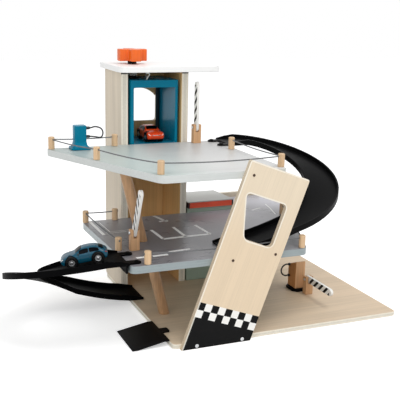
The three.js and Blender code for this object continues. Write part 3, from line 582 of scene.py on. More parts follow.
def twisted_into(work, points, radius, pitch, strands=3):
    """Adds a laid cord: strands that twist round each other along points."""
    pitch *= MM
    offset, thickness = radius * 0.5 * MM, radius * 0.56
    route = resampled(points, pitch / 10)
    places = list(zip(route, sides_along(route), walked(route)))
    for strand in range(strands):
        line = []
        for point, (side, third), way in places:
            angle = 2 * math.pi * (way / pitch + strand / strands)
            line.append(point + (side * math.cos(angle) + third * math.sin(angle)) * offset)
        tube_into(work, line, thickness, 7)


def cord_loop(node, material, entries, reach, radius, stops, sleeve):
    """Replaces a node with a cord that leaves its housing at the upper of two entries and ends in the lower.

    Stops are (share of the reach, share of the height between the entries); sleeve is a turned profile.
    """
    high, low = entries
    route = curved([low.lerp(high, up) + Vector((reach * out * MM, 0, 0)) for out, up in stops])
    way = (1 if reach > 0 else -1, 0, 0)
    sleeves = [
        add_piece(
            f"{node}_sleeve_{letter}", lambda work: turned_into(work, sleeve, entry, way, 24),
            material, "garage",
        )
        for entry, letter in zip(entries, "ab")
    ]
    piece = add_piece(
        node + "_loop", lambda work: tube_into(work, route, radius, 16), material, "garage", [node], 50,
    )
    walked(route)[-1]


def rounded_ring(low, high, spread, level, corner, steps=6):
    """A level ring round a box, some millimetres wider, with round corners."""
    reach = Vector((spread, spread, 0)) * MM
    corner = (corner + max(spread, 0)) * MM
    near, far = low - reach, high + reach
    ring = []
    quarters = (
        (far.x, far.y, -1, -1), (near.x, far.y, 1, -1), (near.x, near.y, 1, 1), (far.x, near.y, -1, 1),
    )
    for k, (x, y, right, back) in enumerate(quarters):
        middle = Vector((x, y, level)) + Vector((right, back, 0)) * corner
        for i in range(steps + 1):
            angle = math.pi / 2 * (k + i / steps)
            ring.append(middle + Vector((math.cos(angle), math.sin(angle), 0)) * corner)
    return ring


def placing(ahead, left, up, origin):
    """The matrix that turns the axes to three directions and moves their origin."""
    matrix = Matrix((ahead, left, up)).transposed().to_4x4()
    matrix.translation = origin
    return matrix


# Colours and sizes that a user would change


def colour_setting(name, text, about):
    """A colour property with its default."""
    return bpy.props.FloatVectorProperty(
        name=name, description=about, subtype="COLOR", size=3, min=0.0, max=1.0, default=linear(text),
    )


class GarageSettings(bpy.types.PropertyGroup):
    """Colours and sizes of the garage."""

    plywood: colour_setting("Plywood", "e4d6c0", "Face of the base board and the tower walls")
    birch: colour_setting("Birch", "efdfc6", "Leaning front board")
    dowel: colour_setting("Dowel wood", "e3b283", "Posts, columns, blocks and pump")
    roof: colour_setting("Roof white", "f7f7f6", "Roof plate")
    upper_deck: colour_setting("Upper deck", "cccccb", "Top deck paint")
    mid_deck: colour_setting("Middle deck", "7c7b80", "Middle deck paint")
    teal: colour_setting("Teal", "007896", "Lift cabin and charging station")
    black: colour_setting("Black", "0a0a0b", "Ramps and foot plates")
    knob: colour_setting("Knob orange", "e66412", "Winding knob")
    car_orange: colour_setting("Orange car", "dd4417", "Car in the lift")
    car_blue: colour_setting("Blue car", "04495f", "Car on the ramp")
    red: colour_setting("Kiosk red", "ee5a3c", "Kiosk fascia")
    green: colour_setting("Kiosk green", "9cae9f", "Kiosk walls")
    edge_round: bpy.props.FloatProperty(
        name="Edge rounding", description="Radius of the boards' sanded edges in millimetres",
        default=0.7, min=0.1, max=3.0,
    )
    check_square: bpy.props.FloatProperty(
        name="Check square", description="Side of one painted square on the leaning board",
        default=PANEL_WIDTH / SQUARES_ACROSS * MM, min=0.004, max=0.02, unit="LENGTH",
    )


def chosen():
    """The scene's settings."""
    return bpy.context.scene.garage


class GarageOperator(bpy.types.Operator):
    """Shared settings of the garage's operators."""

    bl_options = {"REGISTER", "UNDO"}


class GARAGE_OT_boards(GarageOperator):
    """Finish the base board, the tower and the board behind the kiosk"""

    bl_idname = "garage.boards"
    bl_label = "Boards and tower"

    # How steeply the photograph's camera looks down at the roof, as fall per length, and the painted shadow
    # line under it, in millimetres below what the roof hides: where it has ended, and where it is full
    view_fall = 0.084
    line_end, line_full = 2.6, 1.4

    def execute(self, context):
        tone = Vector(chosen().plywood)
        ground = Vector((tone.x * 1.01, tone.y * 0.92, tone.z * 0.84))
        # Node, grain, axis of the thickness, plies, tone, and the tint of the face that looks in, which is
        # painted shade and warm bounce light
        rows = [
            ("base_board", "x", "z", 3, ground, None), ("tower_left_wall", "z", "x", 3, tone, None),
            ("tower_right_wall", "z", "x", 3, tone, (1.25, 0.9, 0.5)),
            ("tower_back_wall", "z", "y", 3, tone, (1.15, 0.86, 0.5)),
            ("rear_wall", "x", "y", 5, tone * 0.9, None),
        ]
        for node, grain, thick, plies, light, inner in rows:
            finish, colour, roughness, height = plywood(
                node, light, light * 0.78, grain, thick, plies, edge=linear("efe8d8"),
            )
            # Painted shade and warm bounce light on the face that looks in
            if inner:
                colour = finish.toned(-finish.face(thick) > 0.5, colour, inner)
            if thick == "x":
                # Painted shadow under the roof on the walls' front edges
                colour = finish.mix(self.roof_shadow(finish, node), colour, linear("3a3128"))
            material = finish.surface(colour, roughness, normal=finish.bump(height, 0.14))
            dress(node, material, chosen().edge_round)
        dress("roof_plate", painted("roof paint", chosen().roof, rough=0.42, mottle=0.04), 1.2, 3)
        return {"FINISHED"}

    def roof_shadow(self, finish, node):
        """The painted shadow of the roof: a dark line on a wall's front edge, just below where the roof hides
        it.
        """
        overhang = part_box(node)[0].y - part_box("roof_plate")[0].y
        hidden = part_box(node)[1].z - overhang * self.view_fall
        dark = finish.at("z").fade(hidden - self.line_end * MM, hidden - self.line_full * MM)
        return dark * (-finish.face("y") > 0.7)


class GARAGE_OT_decks(GarageOperator):
    """Finish the two decks and paint the parking bays"""

    bl_idname = "garage.decks"
    bl_label = "Decks"

    # Painted lines of the middle deck in millimetres: points from the front left corner, and width
    lines = (
        ([(26, 181), (27, 123)], 5.8), ([(27, 123), (114, 126)], 8.2), ([(114, 126), (111, 187)], 5.8),
        ([(69, 187), (68, 124)], 5.8),
        ([(62, 270), (71, 223)], 7.0), ([(58, 228), (76, 232)], 6.5),
        ([(-48, 40), (-34, 40)], 7.0), ([(-21, 40), (5, 41)], 7.0), ([(11, 53), (49, 57)], 6.0),
        ([(-60.5, 268), (-60, 177)], 5.5), ([(-52, 262), (-51, 184), (-4, 187)], 1.8),
        ([(-46, 256), (-45, 192), (-2, 195)], 1.4),
        ([(304, 287), (298, 255), (286, 211)], 2.6), ([(256, 250), (270, 258), (281, 261)], 5.0),
    )
    line_lift = 0.12
    # Where painted shade and light change the decks' tone, in metres in the frame: from x to x, and from y to
    # y
    far_left_x = (-0.1, -0.24)
    kiosk_x, kiosk_y = (-0.09, -0.05), (-0.02, 0.07)
    # A deck's painted light and shade at the front and at the back: place along y, and tone
    upper_ends = ((-0.16, 1.08), (0.1, 0.8))
    mid_ends = ((0.0, 1.0), (0.12, 1.9))

    def execute(self, context):
        # Painted shade at the upper deck's far left, painted light beside the kiosk on the middle deck
        upper = self.deck_paint(
            "upper deck paint", chosen().upper_deck, linear("cfd3d1"), self.upper_ends,
            left=(0.85, 0.97, 0.95), rough=0.38, mottle=0.14, show_grain=0.9,
        )
        middle = self.deck_paint(
            "middle deck paint", chosen().mid_deck, linear("949fa1"), self.mid_ends,
            by_kiosk=1.35, rough=0.3, mottle=0.16, show_grain=0.8,
        )
        dress("upper_deck", upper, chosen().edge_round)
        dress("mid_deck", middle, chosen().edge_round)
        self.paint_lines()
        return {"FINISHED"}

    def deck_paint(self, name, paint, edge, ends, left=(1.0, 1.0, 1.0), by_kiosk=1.0, **options):
        """Paint with painted light and shade: its tone changes from the front end to the back one, with a
        paler edge.
        """
        places, tones = zip(*ends)

        def pattern(finish, colour):
            x, y, _ = finish.split(finish.place)
            # Painted light and shade: the tone from front to back, at the far left and beside the kiosk
            wear_and_painted_light = finish.mix(y.fade(*places), *(scaled(colour, tone) for tone in tones))
            wear_and_painted_light = finish.toned(x.fade(*self.far_left_x), wear_and_painted_light, left)
            wear_and_painted_light = finish.toned(x.fade(*self.kiosk_x) * y.fade(*self.kiosk_y), wear_and_painted_light, (by_kiosk,) * 3)
            return finish.mix(finish.face("z").fade(0.4, 0.8), edge, wear_and_painted_light)
        return painted(name, paint, pattern=pattern, **options)

    def paint_lines(self):
        """White lines on the middle deck."""
        finish = Finish("line paint")
        wear_and_painted_light = finish.noise(finish.place, 420.0, 4.0, 0.7)
        colour = finish.tint(wear_and_painted_light, linear("fdfdfc"), 0.08)
        material = finish.surface(colour, 0.4 + (wear_and_painted_light - 0.5) * 0.3, normal=finish.bump(wear_and_painted_light, 0.04))
        add_piece("bay_lines", self.lines_into, material, "garage")

    def lines_into(self, work):
        """Adds the flat painted lines."""
        level = Vector((0, 0, DECK_TOPS["mid"] + self.line_lift * MM))
        for points, width in self.lines:
            line = [spot(x, y) + level for x, y in points]
            left, right = [], []
            for i, point in enumerate(line):
                forward = (line[min(i + 1, len(line) - 1)] - line[max(i - 1, 0)]).normalized()
                side = Vector((-forward.y, forward.x, 0)) * width * MM / 2
                left.append(point + side)
                right.append(point - side)
            for corners in zip(right, right[1:], left[1:], left):
                work.faces.new([work.verts.new(corner) for corner in corners])


class GARAGE_OT_front_board(GarageOperator):
    """Finish the leaning board with its painted check and screws"""

    bl_idname = "garage.front_board"
    bl_label = "Leaning front board"

    # Millimetres across and along the board; the window's left edge leans, and its corners are round
    check_top, check_rows = 83.0, 2.0
    window_left, window_right, window_bottom, window_top = 12.0, 89.0, 196.2, 268.5
    window_lean = 23.5 / 71.5
    window_corner = 9.0
    # Width of the painted highlight along the edges
    rim_width = 2.2
    # Painted warm shade on the wood, from here down to here
    warm_top, warm_bottom = 290.0, 170.0
    # Screws: millimetres from the base board's front left corner; the bright ones are at the board's foot
    dark_screws, dark_radius = ((126, 274), (95, 139.5), (170, 142)), 2.3
    bright_screws, bright_radius = ((37, 4.5), (116, 4.5)), 3.0
    screw_proud = 0.2

    def execute(self, context):
        dress("front_panel", self.birch(), 1.5, 3)
        self.screws()
        return {"FINISHED"}

    def birch(self):
        """Birch plywood with painted warm shade below, the painted check and a painted highlight along its
        edges.
        """
        tone = Vector(chosen().birch)
        finish, colour, roughness, height = plywood(
            "front_panel", tone, tone * 0.9, "z", "y", 7, lean=-PANEL_TILT,
        )
        moved = finish.vector("SUBTRACT", finish.place, spot(PANEL_LEFT, 0))
        x, _, z = finish.split(finish.turned(moved, -PANEL_TILT))
        # Painted warm shade on the lower part of the board
        lower = z.fade(self.warm_top * MM, self.warm_bottom * MM)
        colour = finish.toned(lower, colour, (0.98, 0.93, 0.88))
        front = -finish.face("y") > 0.5
        colour = self.checked(finish, colour, x, z, front)
        # A painted highlight along the edges of the window and of the board
        colour = finish.mix(self.rim(x, z) * front * 0.7, colour, linear("fbf6ea"))
        return finish.surface(colour, roughness, normal=finish.bump(height, 0.10), gloss=0.12)

    def checked(self, finish, colour, x, z, front):
        """A colour under the painted black and white check, and under the black below it."""
        row = (self.check_top * MM - z) / chosen().check_square
        column = x / chosen().check_square
        dull = finish.noise(finish.place, 160.0)
        ink = finish.tint(dull, linear("060607"), 0.4)
        pale = finish.tint(dull, linear("f7f6f2"), 0.06)
        odd = ((row.floor() + column.floor()) * 0.5).fract() > 0.25
        in_check = (row > 0.0) * (row < self.check_rows)
        colour = finish.mix(in_check * front, colour, finish.mix(odd, ink, pale))
        return finish.mix((row > self.check_rows) * front, colour, ink)

    def screws(self):
        """Dark screws in the board and bright ones at its foot."""
        browned = stored(brushed, "browned steel", (0.09, 0.06, 0.045), 0.45)
        screws = [(place, self.dark_radius, browned) for place in self.dark_screws]
        screws += [(place, self.bright_radius, bright_steel()) for place in self.bright_screws]
        for index, ((across, up), radius, metal) in enumerate(screws):
            centre = spot(across, 0, up)
            centre.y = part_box("front_panel")[0].y - self.screw_proud * MM
            self.screw(f"board_screw_{index + 1}", centre, radius, 0.4 + index, metal)

    def rim(self, x, z):
        """1 on the painted highlight along the edges of the window and of the board."""
        slant = (self.window_top * MM - z) * self.window_lean
        beside = (self.window_left * MM + slant - x).larger(x - self.window_right * MM)
        above = (z - self.window_top * MM).larger(self.window_bottom * MM - z)
        round_x = (beside + self.window_corner * MM).larger(0.0)
        round_z = (above + self.window_corner * MM).larger(0.0)
        reach = (self.window_corner + self.rim_width) * MM
        near = (round_x * round_x + round_z * round_z).math("SQRT") < reach
        return near.larger(x < self.rim_width * MM).larger(z > (PANEL_HEIGHT - self.rim_width) * MM)

    def screw(self, name, centre, radius, turn, metal):
        """A countersunk screw with a cross, which looks to the front."""
        axis = Vector((0, -1, 0))
        profile = (
            (0.01, -1.5), (radius * 0.5, -1.5), (radius, -0.35), (radius, 0.15), (radius * 0.86, 0.5),
            (0.01, 0.62),
        )
        piece = add_piece(
            name, lambda work: turned_into(work, profile, centre, axis, 28), metal, "garage",
            smooth=30,
        )
        size = Matrix.Diagonal((radius * 1.15 * MM, radius * 0.2 * MM, 1.1 * MM, 1))
        outward = Matrix.Translation(centre) @ axis.to_track_quat("Z", "Y").to_matrix().to_4x4()

        def cross(work):
            for quarter in (0.0, math.pi / 2):
                bar = bmesh.ops.create_cube(work, size=1.0)
                turned = Matrix.Rotation(turn + quarter, 4, "Z") @ Matrix.Translation((0, 0, 0.5 * MM))
                bmesh.ops.transform(work, matrix=outward @ turned @ size, verts=bar["verts"])
        carve(piece, cross)


class GARAGE_OT_fences(GarageOperator):
    """Finish the posts and lay the twisted cords"""

    bl_idname = "garage.fences"
    bl_label = "Fences"

    # Millimetres: hole below a post's top, bend in a post, tail past the last one, longest level span
    hole_drop, bend, tail, level_span = 4.5, 3.5, 4.2, 20.0
    sag_share = 0.014
    bend_steps, sag_steps = 5, 12
    yarn_radius, yarn_pitch = 1.05, 6.5
    knot_offset, knot_radius, knot_height, knot_cord, knot_steps = 0.6, 1.0, 0.8, 0.75, 24

    def execute(self, context):
        for level in ("upper", "mid"):
            for index in range(1, 7):
                dress(f"{level}_post_{index}", stored(dowel_wood, "post wood", (1.1, 1.3, 1.5)), 0.5)
        yarn = stored(spun, "cord yarn", linear("737476"))
        runs = (
            ("upper_fence_cord", "upper", range(1, 7)), ("mid_fence_cord_left", "mid", range(1, 4)),
            ("mid_fence_cord_right", "mid", range(4, 7)),
        )
        for node, level, numbers in runs:
            route = self.route([f"{level}_post_{i}" for i in numbers])

            def build(work):
                twisted_into(work, route, self.yarn_radius, self.yarn_pitch)
                for end, inner in ((route[0], route[1]), (route[-1], route[-2])):
                    self.knot_into(work, end, (end - inner).normalized())
            add_piece(node + "_laid", build, yarn, "garage", [node], 50)
        # The columns get a darker copy of the dowel wood: painted shade
        for node in ("ground_column", "mid_column"):
            dress(node, stored(dowel_wood, "column wood", (0.8, 0.8, 0.8)), 0.5)
        return {"FINISHED"}

    def route(self, posts):
        """The cord's way through the holes of posts, bent in each and sagging between them."""
        stops = []
        for post in posts:
            low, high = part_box(post)
            stops.append(Vector(((low.x + high.x) / 2, (low.y + high.y) / 2, high.z - self.hole_drop * MM)))
        first = (stops[0] - stops[1]).normalized() * self.tail * MM
        last = (stops[-1] - stops[-2]).normalized() * self.tail * MM
        stops[0] = stops[0] + first
        stops[-1] = stops[-1] + last
        bent = [stops[0]]
        for before, here, after in zip(stops, stops[1:], stops[2:]):
            into = here + (before - here).normalized() * self.bend * MM
            out = here + (after - here).normalized() * self.bend * MM
            for k in range(self.bend_steps + 1):
                t = k / self.bend_steps
                bent.append(into * (1 - t) ** 2 + here * 2 * t * (1 - t) + out * t ** 2)
        bent.append(stops[-1])
        return [point for pair in zip(bent, bent[1:]) for point in self.sagged(*pair)] + [bent[-1]]

    def sagged(self, start, end):
        """The points of a span that hangs a little, its end left out."""
        span = (end - start).length
        if span < self.level_span * MM:
            return [start]
        shares = [i / self.sag_steps for i in range(self.sag_steps)]
        return [start.lerp(end, t) - Vector((0, 0, span * self.sag_share * 4 * t * (1 - t))) for t in shares]

    def knot_into(self, work, end, axis):
        """Adds a small overhand knot on a cord's end, as two crossed loops."""
        centre = end + axis * self.knot_offset * MM
        side = axis.orthogonal().normalized()
        third = axis.cross(side)
        points = []
        for k in range(self.knot_steps + 1):
            a = 4 * math.pi * k / self.knot_steps
            ring = (side * math.cos(a) + third * math.sin(a)) * self.knot_radius
            points.append(centre + ring * MM + axis * math.sin(a * 1.5) * self.knot_height * MM)
        tube_into(work, points, self.knot_cord, 8)


class GARAGE_OT_ramps(GarageOperator):
    """Finish the ramps and set the pegs that hold them"""

    bl_idname = "garage.ramps"
    bl_label = "Ramps"

    # Pegs: ramp, deck's edge, ramp's middle, deck, and the way to the deck's inside
    tongues = (("lower", -69.3, 39.0, "mid", 1), ("upper", 186.3, 240.5, "upper", -1))
    peg_inset, peg_spread, peg_lift = 14, 22, 0.3
    peg_profile = (
        (0.01, 0), (2.3, 0), (2.3, 2.9), (3.9, 2.9), (4.0, 3.4), (3.4, 4.2), (1.8, 4.6), (0.01, 4.7),
    )

    def execute(self, context):
        for node in ("upper_spiral_ramp", "entry_ramp"):
            dress(node, black_plastic(), 0.5, 2, 28)
        dress("lower_spiral_ramp", black_plastic("deep black plastic", 0.012), 0.5, 2, 28)
        for ramp, edge, middle, deck, way in self.tongues:
            for side, letter in ((-1, "a"), (1, "b")):
                foot = spot(edge + way * self.peg_inset, middle + side * self.peg_spread)
                foot.z = DECK_TOPS[deck] + self.peg_lift * MM
                add_piece(
                    f"{ramp}_ramp_peg_{letter}",
                    lambda work: turned_into(work, self.peg_profile, foot, (0, 0, 1), 28),
                    black_plastic(), "garage",
                )
        return {"FINISHED"}


class GARAGE_OT_kiosk(GarageOperator):
    """Finish the kiosk beside the tower"""

    bl_idname = "garage.kiosk"
    bl_label = "Kiosk"

    # Width of the painted shade at each end of the fascia, in millimetres
    end_width = 3.5

    def execute(self, context):
        low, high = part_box("kiosk_fascia")

        # Painted shade on both ends of the fascia
        def painted_shade_ends(finish, colour):
            end = abs(finish.at("x") - (low.x + high.x) / 2) > (high.x - low.x) / 2 - self.end_width * MM
            return finish.mix(end, colour, linear("2c0f0c"))
        dress("kiosk_walls", painted("kiosk green", chosen().green, "z", 0.5, 0.14))
        dress("kiosk_fascia", painted("kiosk red", chosen().red, "x", 0.34, 0.16, 0.6, painted_shade_ends))
        dress("kiosk_roof", painted("kiosk roof paint", linear("c9cac7"), "x", 0.45, 0.1))
        return {"FINISHED"}


class GARAGE_OT_barriers(GarageOperator):
    """Finish the barriers' blocks, pins and striped booms"""

    bl_idname = "garage.barriers"
    bl_label = "Barriers"

    # Boom: degrees from upright, and the way its stripes lean
    booms = {"upper": (0.0, -1.0), "mid": (24.0, 1.0), "ground": (90.0, 1.0)}
    # Stripes in millimetres from the pin along the boom
    stripe_pitch, first_stripe, last_stripe = 16.3, 9.0, 77.0
    black_share, start_share = 0.46, 0.3

    def execute(self, context):
        for level in self.booms:
            dress(f"{level}_barrier_block", stored(dowel_wood, "block wood"), 0.9, 3)
            dress(f"{level}_barrier_pin", bright_steel(), 0.2)
            dress(f"{level}_barrier_boom", self.stripes(level), 0.5)
        return {"FINISHED"}

    def stripes(self, level):
        """White paint with black slanting stripes on a boom's broad sides."""
        finish = Finish(f"{level} boom paint")
        degrees, lean = self.booms[level]
        tilt = math.radians(degrees)
        moved = finish.vector("SUBTRACT", finish.place, sum(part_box(f"{level}_barrier_pin"), Vector()) / 2)
        reach = finish.along(moved, (0.0, -math.sin(tilt), math.cos(tilt)))
        across = finish.along(moved, (0.0, math.cos(tilt), math.sin(tilt)))
        count = (reach - across * lean) / (self.stripe_pitch * MM) + self.start_share
        striped = (reach > self.first_stripe * MM) * (reach < self.last_stripe * MM)
        broad = abs(finish.face("x")) > 0.75
        dull = finish.noise(finish.place, 300.0)
        white = finish.tint(dull, linear("f4f3ef"), 0.08)
        black = finish.tint(dull, linear("0b0b0c"), 0.3)
        colour = finish.mix((count.fract() < self.black_share) * striped * broad, white, black)
        return finish.surface(colour, 0.42 + (dull - 0.5) * 0.2, normal=finish.bump(dull, 0.05), gloss=0.15)


class GARAGE_OT_charger(GarageOperator):
    """Finish the charging station and its cable"""

    bl_idname = "garage.charger"
    bl_label = "Charging station"

    # The flared foot: height above the plate, and how far it spreads
    foot_steps = ((0.0, 3.6), (0.8, 3.4), (2.2, 1.9), (4.5, 0.8), (8.0, 0.15), (9.0, -0.3))
    foot_corner = 1.6
    # The cable: entries as shares of the body's height, reach and radius, stops, and the plugs' profile
    entry_shares = (0.86, 0.46)
    cable_reach, cable_radius = 31.0, 1.25
    cable_stops = (
        (0, 1), (0.26, 1), (0.56, 1.12), (0.9, 0.86), (1, 0.36),
        (0.9, -0.14), (0.56, -0.08), (0.26, 0), (0, 0),
    )
    plug_profile = ((0.01, -0.3), (2.3, -0.3), (2.6, 0.3), (2.6, 5.6), (2.2, 7.2), (1.5, 8.0), (0.01, 8.0))

    def execute(self, context):
        dress("charger_plate", teal_plastic(), 0.8, 3)
        dress("charger_body", teal_plastic(), 1.0, 3)
        rubber = stored(moulded, "cable rubber", linear("2c2d30"), 0.5, 1600.0, 0.05)
        low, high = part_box("charger_body")
        middle = (low.y + high.y) / 2
        entries = [Vector((high.x, middle, low.z + (high.z - low.z) * up)) for up in self.entry_shares]
        cord_loop(
            "charger_cable", rubber, entries, self.cable_reach, self.cable_radius,
            self.cable_stops, self.plug_profile,
        )
        rings = [
            rounded_ring(low, high, spread, low.z + up * MM, self.foot_corner)
            for up, spread in self.foot_steps
        ]
        add_piece(
            "charger_foot", lambda work: rings_into(work, rings), teal_plastic(), "garage",
        )
        return {"FINISHED"}


class GARAGE_OT_pump(GarageOperator):
    """Finish the petrol pump and its hose"""

    bl_idname = "garage.pump"
    bl_label = "Petrol pump"

    # The hose: entries from the body's back and as shares of its height, reach and radius, stops, collars
    entry_inset = 6
    entry_shares = (0.79, 0.38)
    hose_reach, hose_radius = -18.0, 1.4
    hose_stops = (
        (0, 1), (0.18, 1), (0.5, 1.01), (0.87, 0.82), (1, 0.5), (0.87, 0.18), (0.5, -0.01), (0.18, 0), (0, 0),
    )
    collar_profile = ((0.01, -0.3), (2.4, -0.3), (2.6, 0.2), (2.6, 2.6), (2.2, 3.0), (0.01, 3.0))

    def execute(self, context):
        dress("pump_plate", black_plastic(), 0.7, 3)
        # The pump's left face in painted shade
        dress("pump_body", stored(dowel_wood, "pump wood", left=(0.93, 0.68, 0.44)), 1.0, 3)
        rubber = stored(moulded, "hose rubber", linear("1d1c1c"), 0.45, 1600.0, 0.04)
        low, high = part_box("pump_body")
        inset = high.y - self.entry_inset * MM
        entries = [Vector((low.x, inset, low.z + (high.z - low.z) * up)) for up in self.entry_shares]
        cord_loop(
            "pump_hose", rubber, entries, self.hose_reach, self.hose_radius,
            self.hose_stops, self.collar_profile,
        )
        return {"FINISHED"}


class GARAGE_OT_lift(GarageOperator):
    """Finish the lift cabin, its cord and the winding gear"""

    bl_idname = "garage.lift"
    bl_label = "Lift and winding gear"

    # The upright's corners from the cabin's rear right one, its ends inside the cabin, and its round corners
    stile_near, stile_far, stile_inset, stile_corner = (-14.2, -3.4), (-6.2, -0.6), 4.2, 0.9
    # The cord's tail: its start from the middle of the cabin's front edge, and its stops (right, up)
    tail_radius, tail_pitch = 1.1, 4.4
    tail_start = (-12.5, 6, 0.2)
    tail_stops = (
        (-1, 0.6), (-0.4, 2.0), (0.8, 4.4), (3.0, 6.4), (5.0, 8.6), (4.6, 11.0), (2.0, 12.2), (-0.6, 11.2),
    )

    def execute(self, context):
        dress("lift_cabin", teal_plastic(), 0.9, 3)
        for node in ("lift_eye", "guide_eye"):
            dress(node, bright_steel(), 0.0)
        dress("winding_spindle", black_plastic(), 0.3)
        dress("winding_knob", painted("knob paint", chosen().knob, "z", 0.36, 0.2, 0.9), 0.5)
        yarn = stored(spun, "white yarn", linear("e6e4dc"))
        for node in ("lift_cord", "winding_cord"):
            dress(node, yarn, 0.0)
        self.stile()
        self.tail(yarn)
        return {"FINISHED"}

    def stile(self):
        """The upright at the cabin's rear right corner, near black as painted shade."""
        low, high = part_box("lift_cabin")
        near, far = (
            Vector((high.x + x * MM, high.y + y * MM, low.z)) for x, y in (self.stile_near, self.stile_far)
        )
        inset = self.stile_inset * MM
        rings = [
            rounded_ring(near, far, 0, level, self.stile_corner) for level in (low.z + inset, high.z - inset)
        ]
        # Near-black teal: painted shade on the upright
        dark = stored(moulded, "dark teal", linear("06212a"), 0.4, 500.0, 0.006, gloss=0.3)
        add_piece("lift_stile", lambda work: rings_into(work, rings), dark, "lift")

    def tail(self, yarn):
        """The free tail of the lift's cord, which curls up over the cabin's front edge."""
        low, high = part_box("lift_cabin")
        start = Vector(((low.x + high.x) / 2, low.y, high.z)) + Vector(self.tail_start) * MM
        stops = [start + Vector((x, 0.2 * z, z)) * MM for x, z in self.tail_stops]
        route = resampled(smoothed(stops), 0.5 * MM)
        add_piece(
            "lift_cord_tail", lambda work: twisted_into(work, route, self.tail_radius, self.tail_pitch),
            yarn, "lift", smooth=50,
        )


# Rows of a toy car's skin in millimetres, nose to tail: place along the car, half width, underside,
# waist, half width of the roof or hood, top
CAR_ROWS = (
    (0.2, 8.5, 10.5, 11.8, 7.0, 12.6), (1.6, 13.4, 7.2, 13.4, 11.0, 15.0),
    (5.0, 15.7, 5.6, 15.8, 12.8, 17.0), (10.0, 16.3, 5.3, 17.2, 13.2, 18.6),
    (17.0, 16.3, 5.3, 17.8, 13.0, 19.4), (22.0, 16.2, 5.3, 17.7, 12.8, 20.2),
    (27.0, 16.1, 5.3, 17.4, 12.2, 23.6), (32.0, 16.0, 5.3, 17.2, 11.3, 26.4),
    (38.0, 16.0, 5.3, 17.1, 10.9, 27.3), (45.0, 16.1, 5.3, 17.2, 10.9, 27.4),
    (52.0, 16.2, 5.3, 17.5, 11.1, 26.8), (58.0, 16.3, 5.3, 17.9, 11.6, 25.2),
    (64.0, 16.1, 5.4, 17.9, 12.2, 21.6), (68.6, 15.4, 6.2, 17.0, 12.4, 18.4),
    (71.2, 13.6, 8.4, 15.0, 11.0, 16.0), (71.8, 9.5, 10.4, 13.0, 7.5, 13.8),
)
CAR_LENGTH, CAR_TRACK = 72.0, 33.4
CAR_AXLES = (19.5, -20.5)
WHEEL_RADIUS, WELL_RADIUS, WELL_DEPTH, WELL_CUT = 9.2, 10.4, 8.1, 12.0
SKIN_ROWS, SKIN_PARTS, NUDGE = 64, 54, 0.02
PANE_ROUND, PANE_SINK = 0.16, -0.35


def spline_weights(t):
    """Weights of the four points that shape one stretch of a cubic B-spline."""
    early = (3 * t ** 3 - 6 * t ** 2 + 4) / 6
    late = (-3 * t ** 3 + 3 * t ** 2 + 3 * t + 1) / 6
    return (1 - t) ** 3 / 6, early, late, t ** 3 / 6


